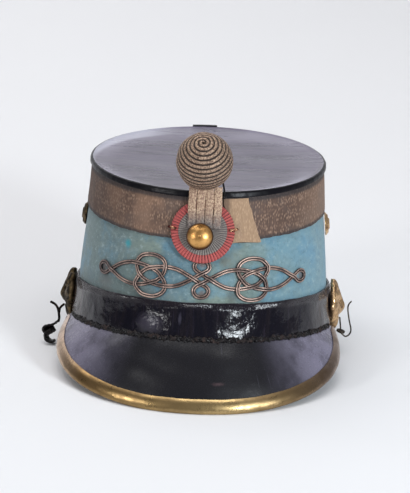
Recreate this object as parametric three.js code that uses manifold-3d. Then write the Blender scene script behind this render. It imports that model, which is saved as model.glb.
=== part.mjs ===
// A shako hat: a hollow cloth crown with a patent leather top, band and peak, lace, an interlaced
// braid knot, a pleated cockade and a wound pompon. It stands as it would by itself, tipped back on
// the front of its peak and the back of its base. Millimetres, +Z up, the front towards -Y.
// The hat's own frame, inside the leaning group, has its base plane at height 0.
import * as THREE from "three";
import { mergeVertices } from "three/addons/utils/BufferGeometryUtils.js";
import Module from "manifold-3d";

const wasm = await Module();
wasm.setup();
const radians = THREE.MathUtils.degToRad;
const mix = THREE.MathUtils.lerp;

// Stance
const lean = radians(9.5);
const gap = 0.3;
const fusedTolerance = 0.04;

// Crown wall, by its cloth surface
const baseHalfWidth = 81.6;
const baseHalfLength = 99.5;
const topHalfWidth = 74;
const topHalfLength = 84.4;
const topSetBack = 1.8;
const bodyHeight = 106;
const topTilt = radians(8.5);
const wallBow = 1.3;
const wallWave = 0.4;
const clothWall = 2.4;
const around = 54;

// Patent leather top
const topThickness = 1.8;
const topDish = 1.6;
const dishShare = 0.96;
const skirtDrop = 4.4;
const skirtThickness = 1.1;
const beadRise = 0.5;

// Lace under the top, and the lighter end that overlaps it
const laceHeight = 25.1;
const laceThickness = 0.8;
const patchThickness = 0.9;
const patchStartTop = 15.6;
const patchStartBottom = 18.6;
const patchEndTop = 28.3;
const patchEndBottom = 37;
const patchOverhang = 1.6;

// Leather band round the base
const bandHeight = 28.4;
const bandTilt = radians(1);
const bandThickness = 1.7;
const bandBulge = 0.2;
const bandFootWidth = 6;
const bandFootThickness = 1.6;

// Peak
const peakThickness = 2;
const peakBowShare = 0.033;
const seamHeight = 3;
const seamTurn = radians(79);
const edgeSideReach = 6.9;
const edgeFrontReach = 22.8;
const edgeCentre = -46;
const edgeTail = 1.1;
const edgeTurn = radians(107);
const edgeLift = 18.5;
const edgeFlatShare = 0.128;
const edgeLiftPower = 1.78;
const rimBeadRadius = 1.9;
const rimSinkShare = 0.82;
const rimSheet = 0.45;
const rimTopWidth = 6.9;
const rimUnderWidth = 6;
const weltRadius = 1.2;
const weltShare = 0.96;

// Braid knot on the front: distances along the cloth and up it, from the knot's middle
const knotFoot = 0.34;
const knotShift = 1.5;
const knotReach = 76.7;
const knotRise = 12.5;
const braidWidth = 3;
const braidThickness = 1.3;
const braidTopShare = 0.62;

// Cockade, its loop, button and staples
const cockadeShift = 0.9;
const cockadeDrop = 0.69;
const cockadeRadius = 19.1;
const innerRingRadius = 14;
const pleatCount = 32;
const pleatDepth = 0.35;
const cockadeThickness = 1.6;
const loopOffset = 0.7;
const loopWidth = 18.6;
const loopThickness = 1.3;
const loopStand = 3.2;
const loopFoot = 1.4;
const loopStrips = 4;
const loopGroove = 0.8;
const buttonRadius = 8.6;
const buttonRise = 6.2;
const buttonDrop = 2.8;
const buttonOffset = -1.4;
const shankRadius = 3;
const stapleRadius = 0.5;
const stapleFoot = 2.2;
const stapleRise = 1.2;

// Pompon
const pomponRadius = 17.5;
const pomponStretch = 1.03;
const pomponTurns = 19;
const pomponGroove = 0.9;
const pomponTip = radians(42.4);
const pomponShift = 0.5;
const pomponLead = 14.9;
const pomponStand = 2.59;
const tieRadius = 0.5;
const tieOffset = 1.7;

// Ventilators and head bosses at the sides
const ventRadius = 7.5;
const ventRise = 3.2;
const ventDrop = 2.2;
const bossHalfWidth = 13;
const bossHalfHeight = 16.8;
const bossOver = 2.4;
const bossDepth = 8;
const bossSheet = 1.2;

// Wire hooks, the strap's end and the tab at the back
const leftHookRadius = 0.65;
const rightHookRadius = 0.5;
const hookSeatShare = 0.45;
const hookReach = 10;
const hookEyeRadius = 3;
const hookEyeHeight = 1.6;
const strapThickness = 1.6;
const strapWidth = 8;
const strapTipShare = 0.74;
const tabWidth = 16;
const tabShift = -5.5;
const tabDrop = 9;
const tabRise = 1.4;
const tabThickness = 1.1;

const skirtInner = gap + laceThickness + gap;
const skirtOuter = skirtInner + skirtThickness;
const bandOuter = gap + bandThickness;
const cockadeBack = gap + laceThickness + gap + patchThickness + gap;
const cockadeFace = cockadeBack + cockadeThickness;
const loopBack = cockadeFace + pleatDepth + gap;
const loopFace = loopBack + loopThickness;
const stemOut = (skirtOuter + loopBack) / 2;
const stemRadius = (loopBack - skirtOuter) / 2 - gap;
const edgeHalfWidth = baseHalfWidth + edgeSideReach;
const edgeFront = baseHalfLength + edgeFrontReach + edgeCentre;
const edgeBack = (edgeCentre - peakSeam(1).y - edgeTail) / Math.cos(edgeTurn);
const knotHeight = bandTop(0) + knotFoot + braidWidth / 2 + knotRise;
const cockadeHeight = topHeight(0) - skirtDrop - cockadeDrop - cockadeRadius;
const loopShift = cockadeShift + loopOffset;
const buttonShift = cockadeShift + buttonOffset;
const buttonHeight = cockadeHeight - buttonDrop;
const loopBottom = buttonHeight + shankRadius + loopFoot;
const loopTop = topHeight(0) + loopStand;
const bossHeight = bandHeight + bossOver - bossHalfHeight;
const bossOut = bandOuter + bandBulge + gap;
const stapleReach = cockadeRadius + stapleFoot;
const stapleHeight = cockadeHeight + stapleRise;
const tieShift = loopShift + loopWidth / 2 + tieOffset;
const ventHeight = laceBottom(Math.PI / 2) - ventDrop - ventRadius;
const pomponCentre = new THREE.Vector3(
  pomponShift,
  topSetBack - topHalfLength - pomponLead,
  topHeight(0) + pomponStand + pomponRadius * pomponStretch,
);

// A quarter of the knot, from its end to the bottom of the small middle loop: shares of its reach
// and of its rise. Mirrored both ways it is one closed strand.
const knotQuarter = [
  { along: 1, rise: 0 },
  { along: 0.98, rise: -0.233 },
  { along: 0.923, rise: -0.31 },
  { along: 0.845, rise: -0.016 },
  { along: 0.724, rise: 0.349 },
  { along: 0.613, rise: 0.512 },
  { along: 0.522, rise: 0.496 },
  { along: 0.437, rise: 0.388 },
  { along: 0.365, rise: 0.217 },
  { along: 0.317, rise: -0.062 },
  { along: 0.292, rise: -0.426 },
  { along: 0.306, rise: -0.736 },
  { along: 0.359, rise: -0.946 },
  { along: 0.43, rise: -1 },
  { along: 0.506, rise: -0.9 },
  { along: 0.554, rise: -0.581 },
  { along: 0.548, rise: -0.248 },
  { along: 0.508, rise: 0.062 },
  { along: 0.456, rise: 0.279 },
  { along: 0.365, rise: 0.419 },
  { along: 0.28, rise: 0.457 },
  { along: 0.196, rise: 0.388 },
  { along: 0.117, rise: 0.171 },
  { along: 0.052, rise: -0.054 },
  { along: 0, rise: -0.24 },
  { along: -0.047, rise: -0.411 },
  { along: -0.059, rise: -0.612 },
  { along: -0.038, rise: -0.822 },
  { along: 0, rise: -0.884 },
];

// Relief of a lion's head boss: bumps at shares of its half width and half height, with their
// spread and their share of its depth.
const bossRelief = [
  { side: 0, up: -0.1, wide: 0.3, tall: 0.24, rise: 0.34 },
  { side: 0, up: 0.2, wide: 0.13, tall: 0.26, rise: 0.18 },
  { side: 0.3, up: 0.42, wide: 0.2, tall: 0.14, rise: 0.16 },
  { side: -0.3, up: 0.42, wide: 0.2, tall: 0.14, rise: 0.16 },
  { side: 0.3, up: 0.19, wide: 0.13, tall: 0.09, rise: -0.14 },
  { side: -0.3, up: 0.19, wide: 0.13, tall: 0.09, rise: -0.14 },
  { side: 0, up: -0.4, wide: 0.3, tall: 0.06, rise: -0.16 },
];

// Surfaces

// Share of the way in from the base's outline to the top's.
function inward(up) {
  const share = Math.max(up, 0);
  return share ** wallBow - (wallWave * Math.sin(2 * Math.PI * share)) / (2 * Math.PI);
}

// Height of the top's edge at a turn, counted from the front.
function topHeight(turn) {
  return bodyHeight - topHalfLength * Math.cos(turn) * Math.tan(topTilt);
}

function wallSkin(turn, height) {
  const share = inward(height / topHeight(turn));
  const halfWidth = mix(baseHalfWidth, topHalfWidth, share);
  const halfLength = mix(baseHalfLength, topHalfLength, share);
  const y = topSetBack * share - halfLength * Math.cos(turn);
  return new THREE.Vector3(halfWidth * Math.sin(turn), y, height);
}

function wallFrame(turn, height) {
  const step = 0.01;
  const along = wallSkin(turn + step, height).sub(wallSkin(turn - step, height)).normalize();
  const rise = wallSkin(turn, height + 1).sub(wallSkin(turn, height - 1));
  const outward = along.clone().cross(rise).normalize();
  const upward = outward.clone().cross(along);
  return { along, upward, outward };
}

// A point on the cloth, or a distance out from it.
function onWall(turn, height, out = 0) {
  return wallSkin(turn, height).addScaledVector(wallFrame(turn, height).outward, out);
}

// The turn that lies a given way along the cloth from the front.
function turnAlong(way, height) {
  const steps = 16;
  const small = 0.001;
  const speed = (turn) =>
    wallSkin(turn + small, height).distanceTo(wallSkin(turn - small, height)) / (2 * small);
  let turn = 0;
  for (let i = 0; i < steps; i++) {
    const middle = turn + way / steps / 2 / speed(turn);
    turn += way / steps / speed(middle);
  }
  return turn;
}

function onFront(way, height, out) {
  return onWall(turnAlong(way, height), height, out);
}

function bandTop(turn) {
  return bandHeight - baseHalfLength * Math.cos(turn) * Math.tan(bandTilt);
}

function laceBottom(turn) {
  return topHeight(turn) - skirtDrop - laceHeight;
}

// The floor seen from the leaning hat: its height under a distance to the back.
const backFoot = onWall(Math.PI, 0, bandOuter);
const standHeight = backFoot.y * Math.sin(lean);
function floorUnder(y) {
  return (y * Math.sin(lean) - standHeight) / Math.cos(lean);
}

// Centre line of the brass bead, from one end of the peak (-1) to the other (1).
function peakEdge(share) {
  const turn = share * edgeTurn;
  const length = Math.cos(turn) > 0 ? edgeFront : edgeBack;
  const y = edgeCentre - length * Math.cos(turn);
  const past = Math.max(0, (Math.abs(share) - edgeFlatShare) / (1 - edgeFlatShare));
  const lift = edgeLift * past ** edgeLiftPower + rimBeadRadius * rimSinkShare;
  const z = floorUnder(y) + lift / Math.cos(lean);
  return new THREE.Vector3(edgeHalfWidth * Math.sin(turn), y, z);
}

function peakSeam(share) {
  return onWall(share * seamTurn, seamHeight, bandOuter + gap + peakThickness / 2);
}

function peakWidth(share) {
  return peakEdge(share).distanceTo(peakSeam(share));
}

// A point of the peak: a distance in from its edge, and over the middle of the leather.
function onPeak(share, inside, over) {
  const edge = peakEdge(share);
  const inwards = peakSeam(share).sub(edge).normalize();
  const along = peakEdge(share + 0.01).sub(peakEdge(share - 0.01)).normalize();
  const normal = along.cross(inwards).normalize();
  const width = peakWidth(share);
  const part = inside / width;
  const bow = peakBowShare * width * Math.max(0, 4 * part * (1 - part));
  return edge.addScaledVector(inwards, inside).addScaledVector(normal, over + bow);
}

// Bodies

// A geometry from points and triangles, turned so that its faces point out.
function bodyOf(points, faces) {
  let volume = 0;
  for (let i = 0; i < faces.length; i += 3) {
    const [a, b, c] = [points[faces[i]], points[faces[i + 1]], points[faces[i + 2]]];
    volume += a.dot(b.clone().cross(c));
  }
  const geometry = new THREE.BufferGeometry().setFromPoints(points);
  geometry.setIndex(volume < 0 ? faces.toReversed() : faces);
  geometry.computeVertexNormals();
  return geometry;
}

// Triangles that close a flat loop of points, in the loop's own direction.
function capFaces(loop, first) {
  const across = loop[1].clone().sub(loop[0]).normalize();
  const normal = new THREE.Vector3();
  loop.forEach((p, i) => {
    const q = loop[(i + 1) % loop.length];
    normal.add(p.clone().sub(loop[0]).cross(q.clone().sub(loop[0])));
  });
  const upward = normal.normalize().clone().cross(across);
  const flat = loop.map((p) => {
    const way = p.clone().sub(loop[0]);
    return new THREE.Vector2(way.dot(across), way.dot(upward));
  });
  return THREE.ShapeUtils.triangulateShape(flat, []).flatMap((triangle) => {
    const turned = THREE.ShapeUtils.area(triangle.map((i) => flat[i])) < 0;
    return (turned ? triangle.toReversed() : triangle).map((i) => i + first);
  });
}

// One body through sections, each a loop of as many points. A ring has no ends.
function loft(sections, ring = false) {
  const count = sections[0].length;
  const steps = ring ? sections.length : sections.length - 1;
  const faces = [];
  for (let i = 0; i < steps; i++) {
    const here = i * count;
    const next = ((i + 1) % sections.length) * count;
    for (let j = 0; j < count; j++) {
      const k = (j + 1) % count;
      faces.push(here + j, here + k, next + k, here + j, next + k, next + j);
    }
  }
  if (!ring) {
    faces.push(...capFaces(sections[0], 0).toReversed());
    faces.push(...capFaces(sections.at(-1), steps * count));
  }
  return bodyOf(sections.flat(), faces);
}

// One body through rings, closed by a point at each end.
function spindle(firstPole, rings, lastPole) {
  const count = rings[0].length;
  const points = [...rings.flat(), firstPole, lastPole];
  const faces = [];
  for (let j = 0; j < count; j++) {
    const k = (j + 1) % count;
    faces.push(rings.length * count, k, j);
    for (let i = 0; i < rings.length - 1; i++) {
      const [here, next] = [i * count, (i + 1) * count];
      faces.push(here + j, here + k, next + k, here + j, next + k, next + j);
    }
    const last = (rings.length - 1) * count;
    faces.push(last + j, last + k, rings.length * count + 1);
  }
  return bodyOf(points, faces);
}

// A ring right round the wall, from a section at each turn.
function wallRing(section) {
  const turns = Array.from({ length: around }, (_, i) => (2 * Math.PI * i) / around);
  return loft(turns.map(section), true);
}

function toSolid(geometry) {
  const bare = (geometry.index ? geometry : geometry.clone()).clone();
  bare.deleteAttribute("normal");
  bare.deleteAttribute("uv");
  const merged = mergeVertices(bare, 1e-4);
  const vertProperties = new Float32Array(merged.attributes.position.array);
  const triVerts = new Uint32Array(merged.index.array);
  return new wasm.Manifold(new wasm.Mesh({ numProp: 3, vertProperties, triVerts }));
}

// Several overlapping bodies as one.
function fused(geometries) {
  const whole = geometries.map(toSolid).reduce((sum, part) => sum.add(part));
  const solid = whole.simplify(fusedTolerance);
  const mesh = solid.getMesh();
  const geometry = new THREE.BufferGeometry();
  geometry.setAttribute("position", new THREE.BufferAttribute(mesh.vertProperties, 3));
  geometry.setIndex(new THREE.BufferAttribute(mesh.triVerts, 1));
  geometry.computeVertexNormals();
  return geometry;
}

// A round wire through points.
function wire(points, radius, steps, sides = 6) {
  const corner = (_, i) => {
    const angle = (2 * Math.PI * i) / sides;
    return new THREE.Vector2(radius * Math.cos(angle), radius * Math.sin(angle));
  };
  const section = new THREE.Shape(Array.from({ length: sides }, corner));
  const extrudePath = new THREE.CatmullRomCurve3(points);
  return new THREE.ExtrudeGeometry(section, { steps, bevelEnabled: false, extrudePath });
}

// Pieces

function crownShape() {
  const foot = bandFootThickness + gap;
  return wallRing((turn) => {
    const head = topHeight(turn) - topThickness - gap;
    const waist = laceBottom(turn);
    const low = bandTop(turn);
    const middle = mix(low, waist, 0.5);
    const outside = [foot, low, middle, waist, mix(waist, head, 0.5), head];
    const inside = [head, middle, foot];
    return [
      ...outside.map((height) => onWall(turn, height)),
      ...inside.map((height) => onWall(turn, height, -clothWall)),
    ];
  });
}

function topShape() {
  const centre = new THREE.Vector3(0, topSetBack, bodyHeight);
  const turns = Array.from({ length: around }, (_, i) => (2 * Math.PI * i) / around);
  const disc = (share, under) =>
    turns.map((turn) => {
      const place = centre.clone().lerp(onWall(turn, topHeight(turn)), share);
      place.z -= topDish * (1 - (share / dishShare) ** 2) + under;
      return place;
    });
  const edge = (out, drop) => turns.map((turn) => onWall(turn, topHeight(turn) - drop, out));
  const pole = (under) => centre.clone().setZ(bodyHeight - topDish - under);
  const beadOut = skirtOuter - beadRise;
  const rings = [
    disc(dishShare, 0),
    edge(gap, -beadRise),
    edge(beadOut, -beadRise),
    edge(skirtOuter, beadRise),
    edge(skirtOuter, skirtDrop),
    edge(skirtInner, skirtDrop),
    edge(skirtInner, topThickness),
    disc(dishShare, topThickness),
  ];
  return spindle(pole(0), rings, pole(topThickness));
}

function laceShape() {
  return wallRing((turn) => {
    const head = topHeight(turn) - topThickness - gap;
    const foot = laceBottom(turn);
    return [
      onWall(turn, foot, gap),
      onWall(turn, foot, gap + laceThickness),
      onWall(turn, mix(foot, head, 0.5), gap + laceThickness),
      onWall(turn, head, gap + laceThickness),
      onWall(turn, head, gap),
      onWall(turn, mix(foot, head, 0.5), gap),
    ];
  });
}

function patchShape() {
  const inner = gap + laceThickness + gap;
  const outer = inner + patchThickness;
  const rows = 2;
  const columns = 4;
  const sections = [];
  for (let i = 0; i <= rows; i++) {
    const share = i / rows;
    const start = mix(patchStartBottom, patchStartTop, share);
    const end = mix(patchEndBottom, patchEndTop, share);
    const place = (column, out) => {
      const way = mix(start, end, column / columns);
      const turn = turnAlong(way, laceBottom(0));
      const foot = laceBottom(turn) - patchOverhang;
      return onWall(turn, mix(foot, topHeight(turn) - skirtDrop - gap, share), out);
    };
    const outside = Array.from({ length: columns + 1 }, (_, column) => place(column, outer));
    const inside = Array.from({ length: columns + 1 }, (_, column) => place(column, inner));
    sections.push([...outside, ...inside.toReversed()]);
  }
  return loft(sections);
}

function bandShape() {
  return wallRing((turn) => {
    const head = bandTop(turn);
    const flat = (out) => onWall(turn, 0, out).setZ(0);
    return [
      flat(bandOuter),
      onWall(turn, head * 0.5, bandOuter + bandBulge),
      onWall(turn, head - 0.6, bandOuter),
      onWall(turn, head, bandOuter - 0.6),
      onWall(turn, head, gap),
      onWall(turn, bandFootThickness, gap).setZ(bandFootThickness),
      onWall(turn, bandFootThickness, gap - bandFootWidth).setZ(bandFootThickness),
      flat(gap - bandFootWidth),
    ];
  });
}

function shares(count, end = 1) {
  return Array.from({ length: count + 1 }, (_, i) => end * ((2 * i) / count - 1));
}

// Distances in from the peak's edge: the leather's start, the binding's two flanges, the seam.
function peakStations(share) {
  const width = peakWidth(share);
  return {
    start: Math.min(rimBeadRadius + gap, width * 0.4),
    under: Math.min(rimUnderWidth, width * 0.7),
    top: Math.min(rimTopWidth, width * 0.76),
    seam: width,
  };
}

const peakShares = shares(36);

function peakShape() {
  return loft(
    peakShares.map((share) => {
      const { start, under, top, seam } = peakStations(share);
      const row = (over) =>
        [start, under, top, mix(top, seam, 0.5), seam].map((way) => onPeak(share, way, over));
      return [...row(peakThickness / 2), ...row(-peakThickness / 2).toReversed()];
    }),
  );
}

function rimShape() {
  const slot = peakThickness / 2 + gap;
  const shell = slot + rimSheet;
  const beadAngles = [75, 120, 160, 200, 240, 285].map(radians);
  return loft(
    peakShares.map((share) => {
      const { start, under, top } = peakStations(share);
      const profile = [
        ...beadAngles.map((angle) => ({
          inside: rimBeadRadius * Math.cos(angle),
          over: rimBeadRadius * Math.sin(angle),
        })),
        { inside: under, over: -shell },
        { inside: under, over: -slot },
        { inside: start - gap, over: -slot },
        { inside: start - gap, over: slot },
        { inside: under, over: slot },
        { inside: top, over: slot },
        { inside: top, over: shell },
      ];
      return profile.map(({ inside, over }) => {
        const place = onPeak(share, inside, over);
        place.z = Math.max(place.z, floorUnder(place.y));
        return place;
      });
    }),
  );
}

function weltShape() {
  const height = seamHeight + peakThickness / 2 + weltRadius;
  const out = bandOuter + bandBulge + gap + weltRadius;
  const sides = 5;
  return loft(
    shares(38, weltShare).map((share, i) => {
      const radius = weltRadius * (i % 2 ? 0.86 : 1);
      const corners = Array.from({ length: sides }, (_, j) => (2 * Math.PI * j) / sides);
      return corners.map((angle) => {
        const rise = radius * Math.sin(angle);
        return onWall(share * seamTurn, height + rise, out + radius * Math.cos(angle));
      });
    }),
  );
}

function knotCurve() {
  const quarter = knotQuarter.map(({ along, rise }) => [along * knotReach, rise * knotRise]);
  const flip = (list, x, y) => list.map(([a, b]) => [a * x, b * y]);
  const half = [...flip(quarter, -1, 1), ...flip(quarter, 1, 1).toReversed().slice(1)];
  const whole = [...half, ...flip(half, 1, -1).toReversed().slice(1, -1)];
  return new THREE.CatmullRomCurve3(
    whole.map(([x, y]) => new THREE.Vector3(x, y, 0)),
    true,
  );
}

function knotShape() {
  const curve = knotCurve();
  const count = 132;
  const chunk = 12;
  const section = (i) => {
    const t = (i % count) / count;
    const middle = curve.getPoint(t);
    const ahead = curve.getTangent(t);
    const corner = (side, out) =>
      onFront(
        knotShift + middle.x - ahead.y * side,
        knotHeight + middle.y + ahead.x * side,
        out,
      );
    const half = braidWidth / 2;
    const crest = half * braidTopShare;
    const face = gap + braidThickness;
    return [corner(-half, gap), corner(half, gap), corner(crest, face), corner(-crest, face)];
  };
  const pieces = [];
  for (let start = 0; start < count; start += chunk) {
    const run = Array.from({ length: chunk + 2 }, (_, i) => section(start + i));
    pieces.push(loft(run));
  }
  return fused(pieces);
}

function cockadeShape() {
  const columns = 2 * pleatCount;
  const place = (radius, angle, out) => {
    const way = cockadeShift + radius * Math.sin(angle);
    return onFront(way, cockadeHeight + radius * Math.cos(angle), out);
  };
  const ring = (radius, out, pleat) =>
    Array.from({ length: columns }, (_, i) => {
      const wave = i % 2 ? pleat : -pleat;
      return place(radius, (2 * Math.PI * i) / columns, out + wave);
    });
  const rings = [
    ring(buttonRadius, cockadeFace, 0),
    ring(innerRingRadius, cockadeFace - 0.1, pleatDepth),
    ring(innerRingRadius + 0.7, cockadeFace - 0.7, pleatDepth),
    ring(cockadeRadius - 0.3, cockadeFace - 0.5, pleatDepth),
    ring(cockadeRadius, cockadeBack, 0),
    ring(cockadeRadius * 0.5, cockadeBack, 0),
  ];
  return spindle(place(0, 0, cockadeFace), rings, place(0, 0, cockadeBack));
}

function loopShape() {
  const strip = (loopWidth + loopGroove) / loopStrips;
  const profile = [-0.5, -0.25, 0, 0.25, 0.5].map((share) => ({
    side: share * loopWidth,
    out: loopBack,
  }));
  for (let i = loopStrips - 1; i >= 0; i--) {
    const left = -loopWidth / 2 + i * strip;
    const right = left + strip - loopGroove;
    if (i < loopStrips - 1) profile.push({ side: right + loopGroove, out: loopBack + 0.5 });
    if (i < loopStrips - 1) profile.push({ side: right, out: loopBack + 0.5 });
    profile.push({ side: right, out: loopFace }, { side: left, out: loopFace });
  }
  return loft(
    [0, 0.35, 0.7, 1].map((share) =>
      profile.map(({ side, out }) =>
        onFront(loopShift + side, mix(loopBottom, loopTop, share), out),
      ),
    ),
  );
}

// A round piece turned about an axis that points out of the wall, from its top to its back.
function turned(profile, segments) {
  const points = profile.map(({ radius, out }) => new THREE.Vector2(radius, out));
  return new THREE.LatheGeometry(points.toReversed(), segments).rotateX(Math.PI / 2);
}

function dome(radius, rise, steps) {
  return Array.from({ length: steps + 1 }, (_, i) => {
    const angle = (Math.PI / 2) * (i / steps);
    return { radius: radius * Math.sin(angle), out: rise * Math.cos(angle) };
  });
}

function buttonShape() {
  const foot = cockadeFace + gap - (loopFace + gap) - 1;
  return turned(
    [
      ...dome(buttonRadius, buttonRise - 1, 5),
      { radius: buttonRadius, out: -1 },
      { radius: shankRadius, out: -1 },
      { radius: shankRadius, out: foot },
      { radius: 0, out: foot },
    ],
    20,
  );
}

function stapleShape(side) {
  const low = stapleRadius + (side < 0 ? gap + laceThickness : cockadeBack - gap);
  const over = cockadeFace + stapleRadius + pleatDepth / 3;
  const place = (way, height, out) => onFront(cockadeShift + side * way, height, out);
  return wire(
    [
      place(stapleReach, stapleHeight + 0.6, low + gap / 2),
      place(stapleReach - 0.5, stapleHeight + 0.5, over - 0.3),
      place(stapleReach - 2.4, stapleHeight + 0.1, over),
      place(stapleReach - 5, stapleHeight - 0.5, over),
    ],
    stapleRadius,
    5,
  );
}

// A ball wound with one spiral cord: crest and groove rows follow each other round.
function pomponShape() {
  const columns = 20;
  const rows = 2 * pomponTurns;
  const radius = (row) => pomponRadius - (row % 2 ? pomponGroove : 0);
  const place = (row, column) => {
    const angle = (2 * Math.PI * column) / columns;
    const down = (Math.PI * (row / 2 + column / columns + 0.3)) / (pomponTurns + 0.9);
    const reach = radius(row);
    return new THREE.Vector3(
      reach * Math.sin(down) * Math.cos(angle),
      reach * Math.sin(down) * Math.sin(angle),
      reach * pomponStretch * Math.cos(down),
    );
  };
  const points = [];
  for (let row = 0; row < rows; row++) {
    for (let column = 0; column < columns; column++) points.push(place(row, column));
  }
  const start = points.push(new THREE.Vector3(0, 0, pomponRadius * pomponStretch)) - 1;
  const end = points.push(new THREE.Vector3(0, 0, -pomponRadius * pomponStretch)) - 1;
  const at = (row, column) => {
    if (column < columns) return row * columns + column;
    return row + 2 < rows ? (row + 2) * columns : end;
  };
  const faces = [];
  const face = (a, b, c) => {
    if (a !== b && b !== c && c !== a) faces.push(a, b, c);
  };
  for (let column = 0; column < columns; column++) {
    face(start, at(0, column + 1), at(0, column));
    for (let row = 0; row < rows - 1; row++) {
      const [a, b] = [at(row, column), at(row, column + 1)];
      const [c, d] = [at(row + 1, column + 1), at(row + 1, column)];
      face(a, b, c);
      face(a, c, d);
    }
    face(at(rows - 1, column), at(rows - 1, column + 1), end);
  }
  face(start, at(1, 0), at(2, 0));
  face(start, at(0, 0), at(1, 0));
  return bodyOf(points, faces);
}

function stemShape() {
  const foot = cockadeHeight + cockadeRadius + gap + 0.5;
  const base = new THREE.Vector3(0, Math.sin(pomponTip), -Math.cos(pomponTip));
  const head = pomponCentre.clone();
  head.addScaledVector(base, pomponRadius * pomponStretch + gap + stemRadius / 2);
  const low = onFront(pomponCentre.x, foot, stemOut);
  const middle = onFront(pomponCentre.x, topHeight(0), stemOut);
  return wire([low, middle, head], stemRadius, 6, 8);
}

function tieShape() {
  const out = skirtOuter + gap + tieRadius;
  const under = new THREE.Vector3(0.62, 0.42, -0.66).normalize();
  const head = pomponCentre.clone().addScaledVector(under, pomponRadius + tieRadius);
  const low = onFront(tieShift, topHeight(0) - skirtDrop * 0.7, out);
  const middle = onFront(tieShift - 0.2, topHeight(0) + 1.5, out);
  return wire([low, middle, head], tieRadius, 6);
}

function ventShape() {
  return turned(
    [
      { radius: 0, out: ventRise },
      { radius: ventRadius * 0.35, out: ventRise * 0.92 },
      { radius: ventRadius * 0.5, out: ventRise * 0.55 },
      { radius: ventRadius * 0.72, out: ventRise * 0.75 },
      { radius: ventRadius * 0.9, out: ventRise * 0.4 },
      { radius: ventRadius, out: 0 },
      { radius: 0, out: 0 },
    ],
    20,
  );
}

function bossShape() {
  const columns = 20;
  const reach = [0.25, 0.48, 0.7, 0.88, 1];
  const sideRadius = (baseHalfLength + bossOut) ** 2 / (baseHalfWidth + bossOut);
  const relief = (side, up) => {
    const radius = Math.hypot(side, up);
    const hollow = bossRelief.reduce((sum, bump) => {
      const across = (side - bump.side) / bump.wide;
      const along = (up - bump.up) / bump.tall;
      return sum + bump.rise * Math.exp(-(across ** 2) - along ** 2);
    }, 0);
    return bossDepth * (0.62 * Math.sqrt(Math.max(0, 1 - radius ** 2)) + hollow);
  };
  const ring = (share, out) =>
    Array.from({ length: columns }, (_, i) => {
      const angle = (2 * Math.PI * i) / columns;
      const lobe = share > 0.6 && i % 2 ? 1 - 0.12 * share : 1;
      const side = share * lobe * Math.sin(angle);
      const up = share * lobe * Math.cos(angle);
      const rise = out ?? Math.max(relief(side, up), 0) + bossSheet;
      const bend = (bossHalfWidth * side) ** 2 / 2 / sideRadius;
      return new THREE.Vector3(bossHalfWidth * side, bossHalfHeight * up, rise - bend);
    });
  const rings = [...reach.map((share) => ring(share)), ring(1, 0)];
  const nose = new THREE.Vector3(0, 0, relief(0, 0) + bossSheet);
  return spindle(nose, rings, new THREE.Vector3(0, 0, 0));
}

// Hook wires, by shares: out from the boss's face in the hooks' reach, ahead in the boss's half
// width, and down from the boss's middle to the floor.
function hookWire(side, rows) {
  const face = bossOut + bossSheet + bossDepth * hookSeatShare;
  return rows.map(({ across, ahead, drop }) => {
    const place = onWall(side * (Math.PI / 2), 0, face + hookReach * across);
    const y = -ahead * bossHalfWidth;
    return new THREE.Vector3(place.x, y, mix(bossHeight, floorUnder(y), drop));
  });
}

function leftHookShape() {
  const long = [
    { across: 1.09, ahead: -0.038, drop: 0.22 },
    { across: 0.76, ahead: -0.038, drop: 0.278 },
    { across: 0.57, ahead: 0, drop: 0.361 },
    { across: 0.48, ahead: 0.046, drop: 0.47 },
    { across: 0.45, ahead: 0.138, drop: 0.566 },
    { across: 0.51, ahead: 0.231, drop: 0.629 },
  ];
  const link = [
    { across: 0.48, ahead: 0.046, drop: 0.457 },
    { across: 0.41, ahead: 0.015, drop: 0.342 },
    { across: 0.13, ahead: 0, drop: 0.252 },
  ];
  const bend = (rows, steps) => wire(hookWire(-1, rows), leftHookRadius, steps);
  return fused([bend(long, 12), bend(link, 4)]);
}

function rightHookShape() {
  const pin = [
    { across: 0.14, ahead: -0.046, drop: 0.259 },
    { across: 0.2, ahead: -0.046, drop: 0.408 },
    { across: 0.25, ahead: -0.046, drop: 0.563 },
  ];
  const long = [
    { across: 0.24, ahead: -0.046, drop: 0.589 },
    { across: 0.42, ahead: -0.046, drop: 0.644 },
    { across: 0.59, ahead: -0.046, drop: 0.673 },
    { across: 0.78, ahead: -0.046, drop: 0.641 },
    { across: 0.9, ahead: -0.046, drop: 0.573 },
    { across: 0.9, ahead: -0.046, drop: 0.486 },
    { across: 0.76, ahead: -0.046, drop: 0.308 },
    { across: 0.65, ahead: -0.046, drop: 0.087 },
    { across: 0.69, ahead: -0.046, drop: -0.013 },
    { across: 0.87, ahead: -0.046, drop: -0.091 },
  ];
  const eye = new THREE.CylinderGeometry(hookEyeRadius, hookEyeRadius * 0.8, hookEyeHeight, 10);
  const low = hookWire(1, pin).at(-1);
  eye.rotateX(radians(12)).rotateY(radians(20)).translate(low.x, low.y, low.z);
  const bend = (rows, steps) => wire(hookWire(1, rows), rightHookRadius, steps);
  return fused([bend(pin, 3), bend(long, 20), eye]);
}

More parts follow.
